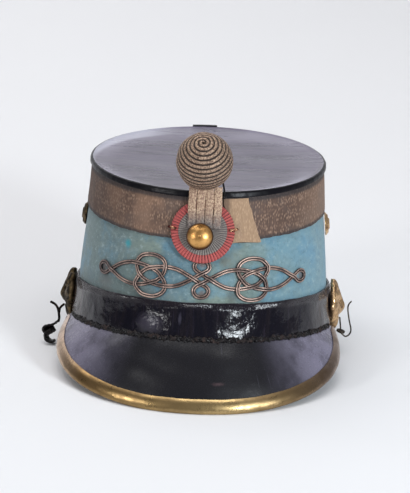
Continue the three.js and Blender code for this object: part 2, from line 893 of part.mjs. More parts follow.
// The strap's dried end: one strip of leather, folded to a flat loop and then to a round one.
function strapShape() {
  const path = [
    { across: 0.54, ahead: 0.615, drop: 0.582 },
    { across: 0.78, ahead: 0.692, drop: 0.628 },
    { across: 1.26, ahead: 0.769, drop: 0.686 },
    { across: 1.12, ahead: 0.808, drop: 0.745 },
    { across: 0.76, ahead: 0.846, drop: 0.719 },
    { across: 1.14, ahead: 0.846, drop: 0.81 },
    { across: 1.1, ahead: 0.846, drop: 0.908 },
    { across: 0.8, ahead: 0.885, drop: 0.948 },
    { across: 0.58, ahead: 0.923, drop: 0.921 },
  ];
  const curve = new THREE.CatmullRomCurve3(hookWire(-1, path));
  const rows = shares(26);
  const sections = rows.map((share, i) => {
    const part = i / (rows.length - 1);
    const middle = curve.getPoint(part);
    const ahead = curve.getTangent(part);
    const half = (strapWidth * mix(1, strapTipShare, part)) / 2;
    const lift = new THREE.Vector3(-ahead.z, 0, ahead.x).multiplyScalar(strapThickness / 2);
    const corner = (side, way) =>
      middle.clone().addScaledVector(lift, side).add(new THREE.Vector3(0, way, 0));
    return [corner(-1, half), corner(1, half), corner(1, -half), corner(-1, -half)];
  });
  return loft(sections);
}

function tabShape() {
  const head = topHeight(Math.PI);
  const inner = skirtOuter + gap;
  const rows = [
    { drop: tabDrop, out: inner },
    { drop: 0, out: inner },
    { drop: -beadRise - gap, out: inner - beadRise },
    { drop: -beadRise - gap, out: gap },
  ];
  const turns = [-1, 0, 1].map((side) => {
    return Math.PI - (tabShift + (side * tabWidth) / 2) / topHalfWidth;
  });
  return loft(
    turns.map((turn) => {
      const under = rows.map(({ drop, out }) => onWall(turn, head - drop, out));
      const over = rows.map(({ drop, out }, i) => {
        const lift = i < 2 ? 0 : tabRise - gap;
        return onWall(turn, head - drop + lift, out + (i < 3 ? tabThickness : 0));
      });
      return [...under, ...over.toReversed()];
    }),
  );
}

// Materials
const finish = (color, roughness, metalness = 0) =>
  new THREE.MeshStandardMaterial({ color, roughness, metalness });
const cloth = finish(0x6f9aa6, 0.95);
const patent = finish(0x14141c, 0.25);
const topPatent = finish(0x3c3c46, 0.4);
const lace = finish(0x776557, 0.7, 0.2);
const paleLace = finish(0xa2886a, 0.75, 0.1);
const brass = finish(0xa5803c, 0.4, 0.9);
const darkBrass = finish(0x5a4a34, 0.5, 0.8);
const braid = finish(0x6d5a50, 0.6, 0.3);
const ribbon = finish(0xb0413c, 0.85);
const bullion = finish(0x7d6546, 0.6, 0.3);
const wireFinish = finish(0x38332e, 0.5, 0.8);
const leather = finish(0x241d1c, 0.7);

// Assembly

const shako = new THREE.Group();
const hat = new THREE.Group();
hat.rotation.x = -lean;
hat.position.z = standHeight;
shako.add(hat);

function piece(name, geometry, material) {
  const mesh = new THREE.Mesh(geometry, material);
  mesh.name = name;
  hat.add(mesh);
  return mesh;
}

// Sets a piece on the wall, with its own +Z pointing out of it and +Y up it.
function seat(mesh, turn, height, out) {
  const { along, upward, outward } = wallFrame(turn, height);
  mesh.position.copy(onWall(turn, height, out));
  mesh.quaternion.setFromRotationMatrix(
    new THREE.Matrix4().makeBasis(along, upward, outward),
  );
}

piece("crown", crownShape(), cloth);
piece("crown_top", topShape(), topPatent);
piece("lace_band", laceShape(), lace);
piece("lace_patch", patchShape(), paleLace);
piece("head_band", bandShape(), patent);
piece("peak", peakShape(), patent);
piece("peak_rim", rimShape(), brass);
piece("peak_welt", weltShape(), leather);
piece("knot_braid", knotShape(), braid);
piece("cockade", cockadeShape(), ribbon);
piece("cockade_loop", loopShape(), paleLace);
seat(
  piece("cockade_button", buttonShape(), brass),
  turnAlong(buttonShift, buttonHeight),
  buttonHeight,
  loopFace + gap + 1.1,
);
piece("cockade_staple_left", stapleShape(-1), darkBrass);
piece("cockade_staple_right", stapleShape(1), darkBrass);
const pompon = piece("pompon", pomponShape(), bullion);
pompon.position.copy(pomponCentre);
pompon.rotation.x = pomponTip;
piece("pompon_stem", stemShape(), wireFinish);
piece("pompon_tie", tieShape(), leather);
for (const [side, sideName, ventFinish, bossFinish] of [
  [-1, "left", darkBrass, darkBrass],
  [1, "right", brass, brass],
]) {
  const turn = side * (Math.PI / 2);
  seat(piece("vent_" + sideName, ventShape(), ventFinish), turn, ventHeight, gap + 0.1);
  seat(piece("boss_" + sideName, bossShape(), bossFinish), turn, bossHeight, bossOut);
}
piece("hook_left", leftHookShape(), wireFinish);
piece("hook_right", rightHookShape(), wireFinish);
piece("strap_remnant", strapShape(), leather);
piece("rear_tab", tabShape(), patent);

// The origin is on the floor, under the middle of the hat's box.
const box = new THREE.Box3().setFromObject(shako, true);
const middle = box.getCenter(new THREE.Vector3());
hat.position.x -= middle.x;
hat.position.y -= middle.y;

export default shako;
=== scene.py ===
import math

import bpy
import numpy as np
from mathutils import Matrix, Vector

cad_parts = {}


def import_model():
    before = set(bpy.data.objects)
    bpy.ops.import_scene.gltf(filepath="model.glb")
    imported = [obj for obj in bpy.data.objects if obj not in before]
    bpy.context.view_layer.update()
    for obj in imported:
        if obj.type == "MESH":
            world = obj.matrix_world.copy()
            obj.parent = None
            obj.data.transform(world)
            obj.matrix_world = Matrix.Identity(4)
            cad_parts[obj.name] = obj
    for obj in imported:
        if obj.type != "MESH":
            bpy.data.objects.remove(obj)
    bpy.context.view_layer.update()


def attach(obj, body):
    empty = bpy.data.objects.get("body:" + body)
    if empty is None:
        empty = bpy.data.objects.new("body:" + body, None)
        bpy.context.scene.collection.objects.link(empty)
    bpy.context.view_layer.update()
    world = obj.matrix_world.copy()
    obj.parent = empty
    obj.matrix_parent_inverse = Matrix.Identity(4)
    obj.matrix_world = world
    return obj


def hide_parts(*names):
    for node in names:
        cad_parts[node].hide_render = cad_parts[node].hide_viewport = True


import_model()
scene = bpy.context.scene

# Sizes are in millimetres in the hat's own frame, as in the part's source, with +Z up the crown and
# -Y to the front. world() leans the hat back and gives metres.
LEAN = math.radians(9.5)
SHIFT = np.array([1.9139, 9.9986, 16.7523])
GAP = 0.3
BASE_WIDTH, BASE_LENGTH = 81.6, 99.5
TOP_WIDTH, TOP_LENGTH = 74.0, 84.4
BODY_HEIGHT, TOP_TILT, SET_BACK = 106.0, math.radians(8.5), 1.8
SKIRT_DROP, LACE_HEIGHT = 4.4, 25.1
BAND_HEIGHT, BAND_TILT, BAND_OUT = 28.4, math.radians(1), 2.0
TOP_THICK, CROWN_WALL, CROWN_FOOT = 1.8, 2.4, 1.9
FOOT_BACK = 101.4
STAND = FOOT_BACK * math.sin(LEAN)


def unit(v):
    return v / np.linalg.norm(v, axis=-1, keepdims=True)


def blend(a, b, share):
    return a + (b - a) * share


def even(count):
    return np.linspace(0, 1, count)


def together(*parts):
    """One array with the parts' numbers side by side in its last direction."""
    return np.stack(np.broadcast_arrays(*parts), -1)


def circle(count):
    return np.linspace(0, 2 * np.pi, count, endpoint=False)


def squarish(wave, power):
    """A wave from -1 to 1, flatter at its crests as power falls below 1."""
    return np.sign(wave) * np.abs(wave) ** power


def world(p):
    p = np.asarray(p, float)
    c, s = math.cos(LEAN), math.sin(LEAN)
    x, y, z = p[..., 0], p[..., 1], p[..., 2]
    return (together(x, y * c + z * s, z * c - y * s) + SHIFT) / 1000


def top_height(turn):
    return BODY_HEIGHT - TOP_LENGTH * np.cos(turn) * math.tan(TOP_TILT)


def skin(turn, height):
    """The crown's outer face. A turn is 0 at the front and grows towards +X."""
    up = np.maximum(height / top_height(turn), 0)
    share = up**1.3 - 0.4 * np.sin(2 * np.pi * up) / (2 * np.pi)
    x = blend(BASE_WIDTH, TOP_WIDTH, share) * np.sin(turn)
    y = SET_BACK * share - blend(BASE_LENGTH, TOP_LENGTH, share) * np.cos(turn)
    return together(x, y, height + 0 * y)


def outward(turn, height):
    along = skin(turn + 0.01, height) - skin(turn - 0.01, height)
    rise = skin(turn, height + 1) - skin(turn, height - 1)
    return unit(np.cross(along, rise))


def wall(turn, height, out=0.0):
    turn, height, out = np.broadcast_arrays(turn, height, out)
    return skin(turn, height) + outward(turn, height) * out[..., None]


def turn_along(way, height):
    """The turns at which the wall has gone the given ways from the front, at a height."""
    way, height = np.broadcast_arrays(np.asarray(way, float), height)
    turn = np.zeros(way.shape)
    for _ in range(12):
        for part in (0.5, 1.0):
            at = turn if part == 0.5 else middle
            speed = np.linalg.norm(skin(at + 0.001, height) - skin(at - 0.001, height), axis=-1)
            middle = turn + way / 12 * part / (speed / 0.002)
        turn = middle
    return turn


def front(way, height, out=0.0):
    """Points on the wall at a way from the front, measured round the wall, and a height."""
    return wall(turn_along(way, height), height, out)


def band_top(turn):
    return BAND_HEIGHT - BASE_LENGTH * np.cos(turn) * math.tan(BAND_TILT)


def lace_bottom(turn):
    return top_height(turn) - SKIRT_DROP - LACE_HEIGHT


def ripple(a, b, *waves):
    """A sum of sine waves over two coordinates: each wave is (size, a's rate, b's rate, phase)."""
    return sum(size * np.sin(ra * a + rb * b + phase) for size, ra, rb, phase in waves)


# Meshes


def finish_piece(ob, nodes, looks, sharp=None):
    """Gives a piece its materials and smoothing, hangs it on the root body and hides the model's parts
    that it stands in for.
    """
    for look in looks:
        ob.data.materials.append(look.material)
    ob.data.polygons.foreach_set("use_smooth", [True] * len(ob.data.polygons))
    if sharp:
        ob.data.set_sharp_from_angle(angle=math.radians(sharp))
    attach(ob, "root")
    if nodes:
        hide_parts(*nodes)
    return ob


def linked(name, data):
    ob = bpy.data.objects.new(name, data)
    scene.collection.objects.link(ob)
    return ob


def mesh_object(name, points, faces, uv):
    """A mesh in the row's frame from points in the hat's frame. uv gives each face corner's place."""
    mesh = bpy.data.meshes.new(name)
    mesh.from_pydata(world(points).tolist(), [], faces)
    layer = mesh.uv_layers.new(name="wall")
    layer.uv.foreach_set("vector", np.asarray(uv, np.float32).ravel())
    mesh.validate()
    return linked(name, mesh)


def grid_faces(rows, columns, ring_rows, ring_columns):
    r = np.arange(rows if ring_rows else rows - 1)
    c = np.arange(columns if ring_columns else columns - 1)
    r, c = np.meshgrid(r, c, indexing="ij")
    r2, c2 = (r + 1) % rows, (c + 1) % columns
    quads = together(r * columns + c, r2 * columns + c, r2 * columns + c2, r * columns + c2)
    return quads.reshape(-1, 4)


def grid_uv(uv, rows, columns):
    """Face corners' places, from places at one more row or column than a ring has."""
    r, c = np.meshgrid(np.arange(rows), np.arange(columns), indexing="ij")
    corners = [uv[r, c], uv[r + 1, c], uv[r + 1, c + 1], uv[r, c + 1]]
    return np.stack(corners, 2).reshape(-1, 2)


def outer_volume(points, faces):
    """Six times the volume in a mesh, below 0 if its faces look inwards."""
    a, b, c = (points[faces[:, k]] for k in range(3))
    d = points[faces[:, -1]]
    return np.einsum("ij,ij->", a, np.cross(b, c)) + np.einsum("ij,ij->", a, np.cross(c, d))


def loft(name, points, ring_rows=False, ring_columns=True, uv=None):
    """A closed body: points[row, column], with rows as sections and columns round each section."""
    rows, columns = points.shape[:2]
    flat = points.reshape(-1, 3)
    quads = grid_faces(rows, columns, ring_rows, ring_columns)
    centred = flat - flat.mean(0)
    inside_out = outer_volume(centred, quads) < 0
    faces = quads[:, ::-1] if inside_out else quads
    if uv is None:
        r, c = rows + ring_rows, columns + ring_columns
        uv = np.stack(np.meshgrid(even(r), even(c), indexing="ij"), -1)
    places = grid_uv(uv, rows - 1 + ring_rows, columns - 1 + ring_columns)
    if inside_out:
        places = places.reshape(-1, 4, 2)[:, ::-1].reshape(-1, 2)
    faces = faces.tolist()
    if not ring_rows:
        first = list(range(columns))
        last = [len(flat) - columns + i for i in range(columns)]
        faces += [first if inside_out else first[::-1], last[::-1] if inside_out else last]
        places = np.concatenate([places, np.zeros((2 * columns, 2))])
    return mesh_object(name, flat, faces, places)


def closed(rows):
    """Rows with their first column once more at the end."""
    return np.concatenate([rows, rows[:, :1]], 1)


def wall_ring(name, section, count=216):
    """A ring right round the wall. section(turn) gives heights and outs as [turn, column]."""
    turn = np.linspace(-np.pi, np.pi, count, endpoint=False)[:, None]
    height, out = section(turn)
    points = wall(turn, height, out)
    closing = np.concatenate([points, points[:1]])
    steps = np.linalg.norm(np.diff(closing, axis=0), axis=-1)
    way = np.concatenate([np.zeros((1, points.shape[1])), np.cumsum(steps, 0)])
    way -= way[-1] / 2
    high = np.concatenate([height, height[:1]])
    return loft(name, points, ring_rows=True, uv=closed(together(way, high)) / 1000)


def catmull(points, count, closed=False):
    """Points on a smooth curve through the given ones, evenly spaced along it."""
    p = np.asarray(points, float)
    n = len(p)
    if closed:
        ext = np.concatenate([p[-1:], p, p[:2]])
        spans = n
    else:
        ext = np.concatenate([2 * p[:1] - p[1:2], p, 2 * p[-1:] - p[-2:-1]])
        spans = n - 1
    t = np.linspace(0, 1, 24, endpoint=False)[:, None]
    parts = []
    for i in range(spans):
        a, b, c, d = ext[i : i + 4]
        parts.append(
            0.5 * (2 * b + (c - a) * t + (2 * a - 5 * b + 4 * c - d) * t**2
                   + (3 * b - a - 3 * c + d) * t**3)
        )
    line = np.concatenate(parts + [p[:1] if closed else p[-1:]])
    far = np.concatenate([[0], np.cumsum(np.linalg.norm(np.diff(line, axis=0), axis=1))])
    at = np.linspace(0, far[-1], count + 1)[: count if closed else count + 1]
    return np.stack([np.interp(at, far, line[:, k]) for k in range(p.shape[1])], 1)


def frames(path):
    """Two directions across a path at each of its points, turning as little as they can."""
    ahead = np.gradient(path, axis=0)
    ahead /= np.linalg.norm(ahead, axis=1, keepdims=True)
    side = np.cross(ahead[0], [0.31, 0.17, 0.93])
    sides = []
    for direction in ahead:
        side = side - direction * side.dot(direction)
        side /= np.linalg.norm(side)
        sides.append(side)
    sides = np.array(sides)
    return sides, np.cross(ahead, sides)


def tube(name, points, radius, count=60, sides=12):
    """A round rod through points, its ends rounded off."""
    path = catmull(points, count)
    side, up = frames(path)
    angle = circle(sides)[None, :, None]
    size = np.full(len(path), float(radius))
    size[[0, -1]] *= 0.45
    size[[1, -2]] *= 0.9
    across = side[:, None] * np.cos(angle) + up[:, None] * np.sin(angle)
    return loft(name, path[:, None] + across * size[:, None, None])


def relief_on_wall(turn, height, out, along, up, raised):
    """Points round a place on the wall, from their distances along it, up it and off it."""
    turn, height = np.array(turn), np.array(height)
    normal = outward(turn, height)
    sideways = unit(skin(turn + 0.01, height) - skin(turn - 0.01, height))
    upward = np.cross(normal, sideways)
    flat = wall(turn, height, out) + sideways * along[..., None] + upward * up[..., None]
    return flat + normal * raised[..., None]


def turned(name, profile, turn, height, out, segments=64):
    """A round piece on the wall, from its profile of (radius, distance out) pairs."""
    radius, raised = np.array(profile).T[..., None]
    angle = circle(segments)
    along, up = radius * np.sin(angle), radius * np.cos(angle)
    return loft(name, relief_on_wall(turn, height, out, along, up, raised))


def join(name, parts):
    """Several meshes as one piece."""
    bpy.ops.object.select_all(action="DESELECT")
    for part in parts:
        part.select_set(True)
    bpy.context.view_layer.objects.active = parts[0]
    bpy.ops.object.join()
    parts[0].name = parts[0].data.name = name
    return parts[0]


# Materials


def rgb(red, green, blue):
    """A colour as a shader takes it, from the 0 to 255 numbers of a screen."""
    parts = [v / 255 for v in (red, green, blue)]
    return (*[v / 12.92 if v <= 0.04045 else ((v + 0.055) / 1.055) ** 2.4 for v in parts], 1)


def feed(tree, socket, value):
    """Links an input to another node's output, or gives it a value."""
    if isinstance(value, bpy.types.NodeSocket):
        tree.links.new(socket, value)
    else:
        socket.default_value = value


def add_node(tree, kind, inputs, output=0, **settings):
    """Adds a shader node and gives its output, or a list of them where output is a slice."""
    node = tree.nodes.new("ShaderNode" + kind)
    for key, value in settings.items():
        setattr(node, key, value)
    for key, value in inputs.items():
        feed(tree, node.inputs[key], value)
    return node.outputs[output]


class Look:
    """One procedural material, built node by node. mix, paint, tint and ramp take screen colours."""

    def __init__(self, name, **shader):
        self.colour = None
        self.material = bpy.data.materials.new(name)
        self.material.use_nodes = True
        self.tree = self.material.node_tree
        self.shader = self.tree.nodes["Principled BSDF"]
        for key, value in shader.items():
            self.shader.inputs[key.replace("_", " ")].default_value = value

    def node(self, *parts, **settings):
        return add_node(self.tree, *parts, **settings)

    def place(self, x=1.0, y=1.0, z=1.0):
        """Places in the object, in metres, stretched along each axis."""
        raw = self.node("TexCoord", {}, 3)
        return self.node("Mapping", {0: raw, 3: (x, y, z)}) if (x, y, z) != (1, 1, 1) else raw

    def wall(self, x=1.0, y=1.0):
        """Places along and up the piece's surface, in metres."""
        raw = self.node("UVMap", {}, uv_map="wall")
        return self.node("Mapping", {0: raw, 3: (x, y, 1)}) if (x, y) != (1, 1) else raw

    def split(self, vector):
        return self.node("SeparateXYZ", {0: vector}, slice(3))

    def noise(self, scale, detail=4.0, rough=0.55, twist=0.0, over=None):
        """Noise over the places in the object, or over others."""
        over = self.place() if over is None else over
        return self.node("TexNoise", {
            "Vector": over, "Scale": scale, "Detail": detail, "Roughness": rough, "Distortion": twist,
        })

    def cells(self, vector, scale, feature="DISTANCE_TO_EDGE", random=1.0):
        return self.node(
            "TexVoronoi", {"Vector": vector, "Scale": scale, "Randomness": random}, feature=feature
        )

    def math(self, operation, a, b=0.0):
        return self.node("Math", {0: a, 1: b}, operation=operation)

    def times(self, a, b):
        return self.math("MULTIPLY", a, b)

    def plus(self, a, b):
        return self.math("ADD", a, b)

    def span(self, value, low, high, start=0.0, end=1.0):
        """value's way from low to high, smoothed, as a number from start to end."""
        return self.node(
            "MapRange", {0: value, 1: low, 2: high, 3: start, 4: end}, interpolation_type="SMOOTHSTEP"
        )

    def mix(self, share, a, b):
        a, b = (rgb(*colour) if isinstance(colour, tuple) else colour for colour in (a, b))
        return self.node("Mix", {0: share, 6: a, 7: b}, 2, data_type="RGBA")

    def paint(self, share, colour):
        """Mixes a share of a colour into the look's own."""
        self.colour = self.mix(share, self.colour, colour)

    def tint(self, colour, value, low, high, share=1.0):
        """Mixes a colour in, from none of it to a share, as value goes from low to high."""
        self.paint(self.span(value, low, high, 0, share), colour)

    def ramp(self, value, *stops):
        node = self.tree.nodes.new("ShaderNodeValToRGB")
        feed(self.tree, node.inputs[0], value)
        points = node.color_ramp.elements
        while len(points) < len(stops):
            points.new(0.5)
        for point, (at, colour) in zip(points, stops):
            point.position, point.color = at, rgb(*colour)
        return node.outputs[0]

    def spot(self, place, centre, radius, ragged=0.4):
        """1 inside a ragged round spot at a place, falling to 0 outside it."""
        away = self.node("VectorMath", {0: place, 1: (*centre, 0)}, 1, operation="DISTANCE")
        edge = self.times(self.noise(2.2 / radius, 3, over=place), radius * ragged * 2)
        return self.span(self.plus(away, edge), radius * 0.6, radius * 1.7, 1, 0)

    def bump(self, height, strength, distance, under=None):
        inputs = {"Height": height, "Strength": strength, "Distance": distance}
        if under is not None:
            inputs["Normal"] = under
        return self.node("Bump", inputs)

    def done(self, rough, metal=0, normal=None):
        for key, value in (
            ("Base Color", self.colour), ("Roughness", rough), ("Metallic", metal), ("Normal", normal)
        ):
            if value is not None:
                feed(self.tree, self.shader.inputs[key], value)
        return self


def cloth_look():
    m = Look("cloth", Sheen_Weight=0.2, Sheen_Roughness=0.5, Sheen_Tint=rgb(225, 232, 235))
    place = m.wall()
    way, high, _ = m.split(place)
    across = m.split(m.place())[0]
    # Painted shade and light: the cloth is painted darker on its left side and lighter on its right,
    # where more light falls, and is also greener on the left and bluer on the right in its own tone.
    m.colour = m.mix(m.span(across, -0.05, 0.05), (90, 110, 116), (106, 142, 156))
    blotch = m.span(m.noise(30, 5, 0.6), 0.38, 0.58)
    middle = m.span(m.math("ABSOLUTE", way), 0.06, 0.02, 0.25, 0.8)
    m.paint(m.times(blotch, middle), (124, 136, 122))
    bluer = m.noise(45, 4, 0.6)
    m.tint((90, 138, 164), bluer, 0.48, 0.68, 0.5)
    worn = m.noise(160, 6, 0.65, over=m.place(1, 1, 2.2))
    m.tint((150, 168, 170), worn, 0.5, 0.78, 0.4)
    m.tint((74, 94, 102), worn, 0.5, 0.25, 0.4)
    flecks = m.noise(420, 3, 0.6)
    m.tint((160, 176, 176), flecks, 0.56, 0.7, 0.35)
    m.tint((70, 92, 104), flecks, 0.44, 0.3, 0.35)
    low = m.times(m.span(high, 0.037, 0.029), m.span(way, -0.01, -0.03))
    grime = m.times(low, m.span(worn, 0.4, 0.6, 0.1, 0.55))
    m.paint(grime, (80, 86, 84))
    # Spots on the cloth: the first seven are stains; the last four make the cloth browner inside the
    # knot's top and bottom loops and its end eyelets.
    for centre, radius, stain, share in (
        ((-0.0499, 0.0582), 0.003, (30, 138, 150), 0.8),
        ((0.0155, 0.0517), 0.004, (102, 98, 82), 0.6),
        ((0.0255, 0.0457), 0.004, (128, 128, 104), 0.6),
        ((0.021, 0.053), 0.009, (118, 124, 112), 0.5),
        ((0.0217, 0.0307), 0.005, (80, 84, 80), 0.6),
        ((-0.07, 0.034), 0.009, (98, 98, 98), 0.5),
        ((-0.03, 0.068), 0.008, (98, 128, 136), 0.4),
        ((0.002, 0.0315), 0.003, (112, 94, 86), 0.8),
        ((0.002, 0.0505), 0.003, (112, 92, 86), 0.8),
        ((-0.0725, 0.041), 0.0028, (104, 92, 92), 0.8),
        ((0.0755, 0.041), 0.0028, (112, 100, 98), 0.8),
    ):
        m.paint(m.times(m.spot(place, centre, radius), share), stain)
    fuzz = m.noise(2600, 3, 0.6)
    weave = m.noise(900, 4, 0.7)
    normal = m.bump(weave, 0.4, 0.0005, m.bump(fuzz, 0.3, 0.0003))
    return m.done(0.93, 0, normal)


def lining_look():
    m = Look("lining")
    mottle = m.noise(120, 5)
    m.colour = m.mix(mottle, (70, 52, 40), (112, 88, 66))
    return m.done(0.85, 0, m.bump(m.noise(1500, 3), 0.3, 0.0004))


def stitches(m, tall):
    """Rows of small upright stitches, 1 at the middle of each."""
    near = m.cells(m.wall(1, 1 / tall), 1000, "F1", 0.8)
    return m.span(near, 0.6, 0.05)


def lace_look():
    m = Look("metal_lace")
    high = m.split(m.wall())[1]
    across = m.split(m.place())[0]
    stitch = stitches(m, 2.3)
    strands = m.noise(1300, 3, 0.6, over=m.wall(1, 0.1))
    rows = m.span(m.math("PINGPONG", m.plus(high, 0.0015), 0.0045), 0.001, 0.004, 0.55, 1)
    pattern = m.plus(m.times(stitch, rows), m.times(strands, 0.55))
    m.colour = m.ramp(
        pattern, (0.15, (74, 56, 48)), (0.45, (108, 84, 71)), (0.75, (138, 111, 92)),
        (1.0, (152, 126, 107)),
    )
    mottle = m.noise(55, 4)
    m.tint((92, 82, 78), mottle, 0.45, 0.65, 0.4)
    bright = m.noise(38, 4, over=m.place(1, 1, 0.6))
    glow = m.times(m.span(bright, 0.48, 0.62, 0.1, 0.5), m.span(across, 0.02, -0.01))
    m.paint(glow, (152, 120, 98))
    # Painted light and shade: the lace is painted lighter at its far right end and darker over its left
    # side.
    m.tint((168, 136, 112), across, 0.055, 0.074, 0.3)
    m.tint((62, 48, 42), across, -0.03, -0.07, 0.6)
    # Dark lines along the lace's lower and upper edges; the upper one is painted shade under the top's
    # skirt.
    edge = m.math("MAXIMUM", m.span(high, 0.0024, 0.0008), m.span(high, 0.0225, 0.0245))
    m.paint(m.times(edge, 0.8), (46, 42, 44))
    relief = m.bump(pattern, 0.6, 0.0005)
    return m.done(m.span(stitch, 0.1, 0.9, 0.7, 0.5), 0.2, relief)


def patch_look():
    m = Look("patch_lace")
    stitch = stitches(m, 2.4)
    strands = m.noise(1500, 3, 0.6, over=m.wall(1, 0.15))
    pattern = m.plus(m.times(stitch, 0.4), m.times(strands, 0.6))
    m.colour = m.ramp(pattern, (0.2, (148, 120, 94)), (0.8, (184, 154, 124)))
    stain = m.noise(90, 4)
    m.tint((140, 114, 96), stain, 0.5, 0.68, 0.5)
    way = m.split(m.wall())[0]
    # Painted shadow: the patch is painted dark along its left edge, beside the raised loop.
    m.tint((98, 76, 62), way, 0.0185, 0.015, 0.7)
    return m.done(0.7, 0.12, m.bump(pattern, 0.4, 0.0004))


def loop_look():
    m = Look("loop_lace")
    high = m.split(m.wall())[1]
    worn = m.span(high, 0.084, 0.073)
    specks = m.noise(1000, 3, 0.75, over=m.wall(1, 0.7))
    light = m.mix(worn, (206, 178, 150), (140, 129, 122))
    dark = m.mix(worn, (138, 108, 90), (88, 80, 80))
    m.colour = m.mix(m.span(specks, 0.42, 0.58), dark, light)
    blotch = m.noise(260, 4, 0.6)
    m.tint((140, 110, 94), blotch, 0.45, 0.65, 0.45)
    return m.done(0.6, 0.2, m.bump(specks, 0.6, 0.0005))


def top_look():
    """Dull patent leather, streaked across and rubbed pale along its front edge; its lilac-grey and its
    pale front and left edges are partly painted reflection of the bright backdrop.
    """
    m = Look("top_patent")
    across, behind, _ = m.split(m.place())
    streaks = m.noise(70, 6, 0.65, 0.6, over=m.place(0.22, 1.6, 1))
    fine = m.noise(420, 4, 0.6, over=m.place(0.1, 1, 1))
    # The streaked lilac-grey is partly the leather's own worn tone and partly painted reflection of the
    # bright backdrop.
    m.colour = m.mix(m.span(streaks, 0.36, 0.66), (62, 56, 74), (92, 85, 103))
    m.tint((130, 120, 138), fine, 0.5, 0.75, 0.35)
    rubbed = m.noise(24, 4)
    half_wide, half_long, centre = 0.0742, 0.0838, 0.0165
    x = m.math("DIVIDE", across, half_wide)
    y = m.math("DIVIDE", m.math("SUBTRACT", behind, centre), half_long)
    ring = m.math("SQRT", m.plus(m.times(x, x), m.times(y, y)))
    # Paler edges, a bright front edge and a bright left edge: rubbed wear together with painted
    # reflection and a painted highlight along the raised rim.
    pale = m.times(m.span(ring, 0.72, 0.96), m.span(rubbed, 0.35, 0.6, 0.2, 0.6))
    m.paint(pale, (140, 134, 152))
    near = m.times(m.span(ring, 0.82, 0.95), m.span(behind, 0.01, -0.05, 0, 0.9))
    m.paint(near, (196, 192, 212))
    side = m.times(m.span(ring, 0.93, 0.99), m.span(across, -0.015, -0.05, 0, 0.7))
    m.paint(side, (190, 190, 204))
    lumps = m.bump(m.noise(60, 4, over=m.place(0.6, 1.4, 1)), 0.35, 0.0016)
    return m.done(m.span(streaks, 0.3, 0.7, 0.25, 0.34), 0, lumps)


def patent_look(name, dark, worn, rough, wear, crumple, lumpy=0.5, shine=0.5):
    """Patent leather: a near-black gloss with lumps, crumpled skin and dull, paler worn places."""
    m = Look(name, Specular_IOR_Level=shine)
    patches = m.noise(42, 6, 0.62, 0.3)
    fine = m.noise(420, 5, 0.7)
    m.colour = m.mix(m.span(patches, *wear), dark, worn)
    m.tint(worn, fine, 0.55, 0.8, 0.25)
    lumps = m.bump(m.noise(75, 3, 0.5), lumpy, 0.002)
    normal = m.bump(m.noise(330, 4, 0.6), crumple, 0.0006, lumps)
    roughness = m.plus(m.span(patches, *wear, rough, rough + 0.25), m.times(fine, 0.06))
    return m, roughness, normal


def band_look():
    m, roughness, normal = patent_look(
        "band_patent", (11, 10, 20), (52, 47, 66), 0.1, (0.6, 0.82), 0.3, shine=0.26)
    way, high, _ = m.split(m.wall())
    ribs = m.math("PINGPONG", m.math("DIVIDE", way, 0.00045), 1)
    ribbed = m.times(m.span(high, 0.021, 0.025), ribs)
    m.paint(m.times(ribbed, 0.5), (48, 42, 46))
    brown = m.noise(260, 4, 0.6, over=m.wall(1, 0.15))
    boss_way = 0.118
    beside = m.math("ABSOLUTE", m.math("SUBTRACT", m.math("ABSOLUTE", way), boss_way))
    side = m.times(m.span(beside, 0.034, 0.012, 0.06, 0.45), m.span(brown, 0.42, 0.7))
    m.paint(side, (90, 75, 68))
    streaks = m.noise(420, 3, 0.6, over=m.wall(1, 0.08))
    m.tint((52, 46, 60), streaks, 0.55, 0.75, 0.35)
    # A dull, raised worn oval on the band's left and a small grey spot beside it, both painted greyer as
    # a weak painted reflection of the left lamp.
    spot = m.spot(m.wall(1, 1.5), (-0.0305, 0.0185), 0.0085, 0.3)
    m.paint(m.times(spot, 0.45), (70, 66, 80))
    reflected_mark = m.spot(m.wall(2.6, 0.8), (-0.0273, 0.0132), 0.0028, 0.3)
    m.paint(m.times(reflected_mark, 0.4), (80, 76, 90))
    roughness = m.plus(roughness, m.times(spot, 0.08))
    normal = m.bump(spot, 0.7, 0.0012, normal)
    return m.done(roughness, 0, m.bump(ribbed, 0.5, 0.0003, normal))


def skirt_look():
    m, roughness, normal = patent_look(
        "skirt_patent", (9, 8, 14), (26, 23, 33), 0.3, (0.6, 0.8), 0.15, shine=0.14)
    return m.done(roughness, 0, normal)


def peak_look():
    m, roughness, normal = patent_look(
        "peak_patent", (14, 13, 19), (28, 26, 34), 0.24, (0.68, 0.95), 0.05, 0.08)
    way = m.split(m.wall())[0]
    # Painted reflection: the peak's sides are painted pale lilac-grey, where the bright backdrop
    # reflects.
    side = m.span(m.math("ABSOLUTE", way), 0.03, 0.075)
    cloudy = m.noise(60, 5, 0.6)
    pale = m.times(side, m.span(cloudy, 0.3, 0.6, 0.45, 1))
    m.paint(pale, (120, 116, 134))
    specks = m.times(side, m.span(m.noise(640, 2, over=m.wall(1, 1.6)), 0.64, 0.7))
    m.paint(m.times(specks, 0.7), (30, 27, 34))
    scratches = m.noise(900, 2, 0.5, over=m.wall(1, 0.04))
    m.tint((90, 88, 100), scratches, 0.68, 0.76, 0.25)
    smudge = m.spot(m.wall(0.4, 1), (0.0044, 0.0165), 0.0015, 0.6)
    m.paint(m.times(smudge, 0.5), (86, 66, 70))
    return m.done(roughness, 0, normal)


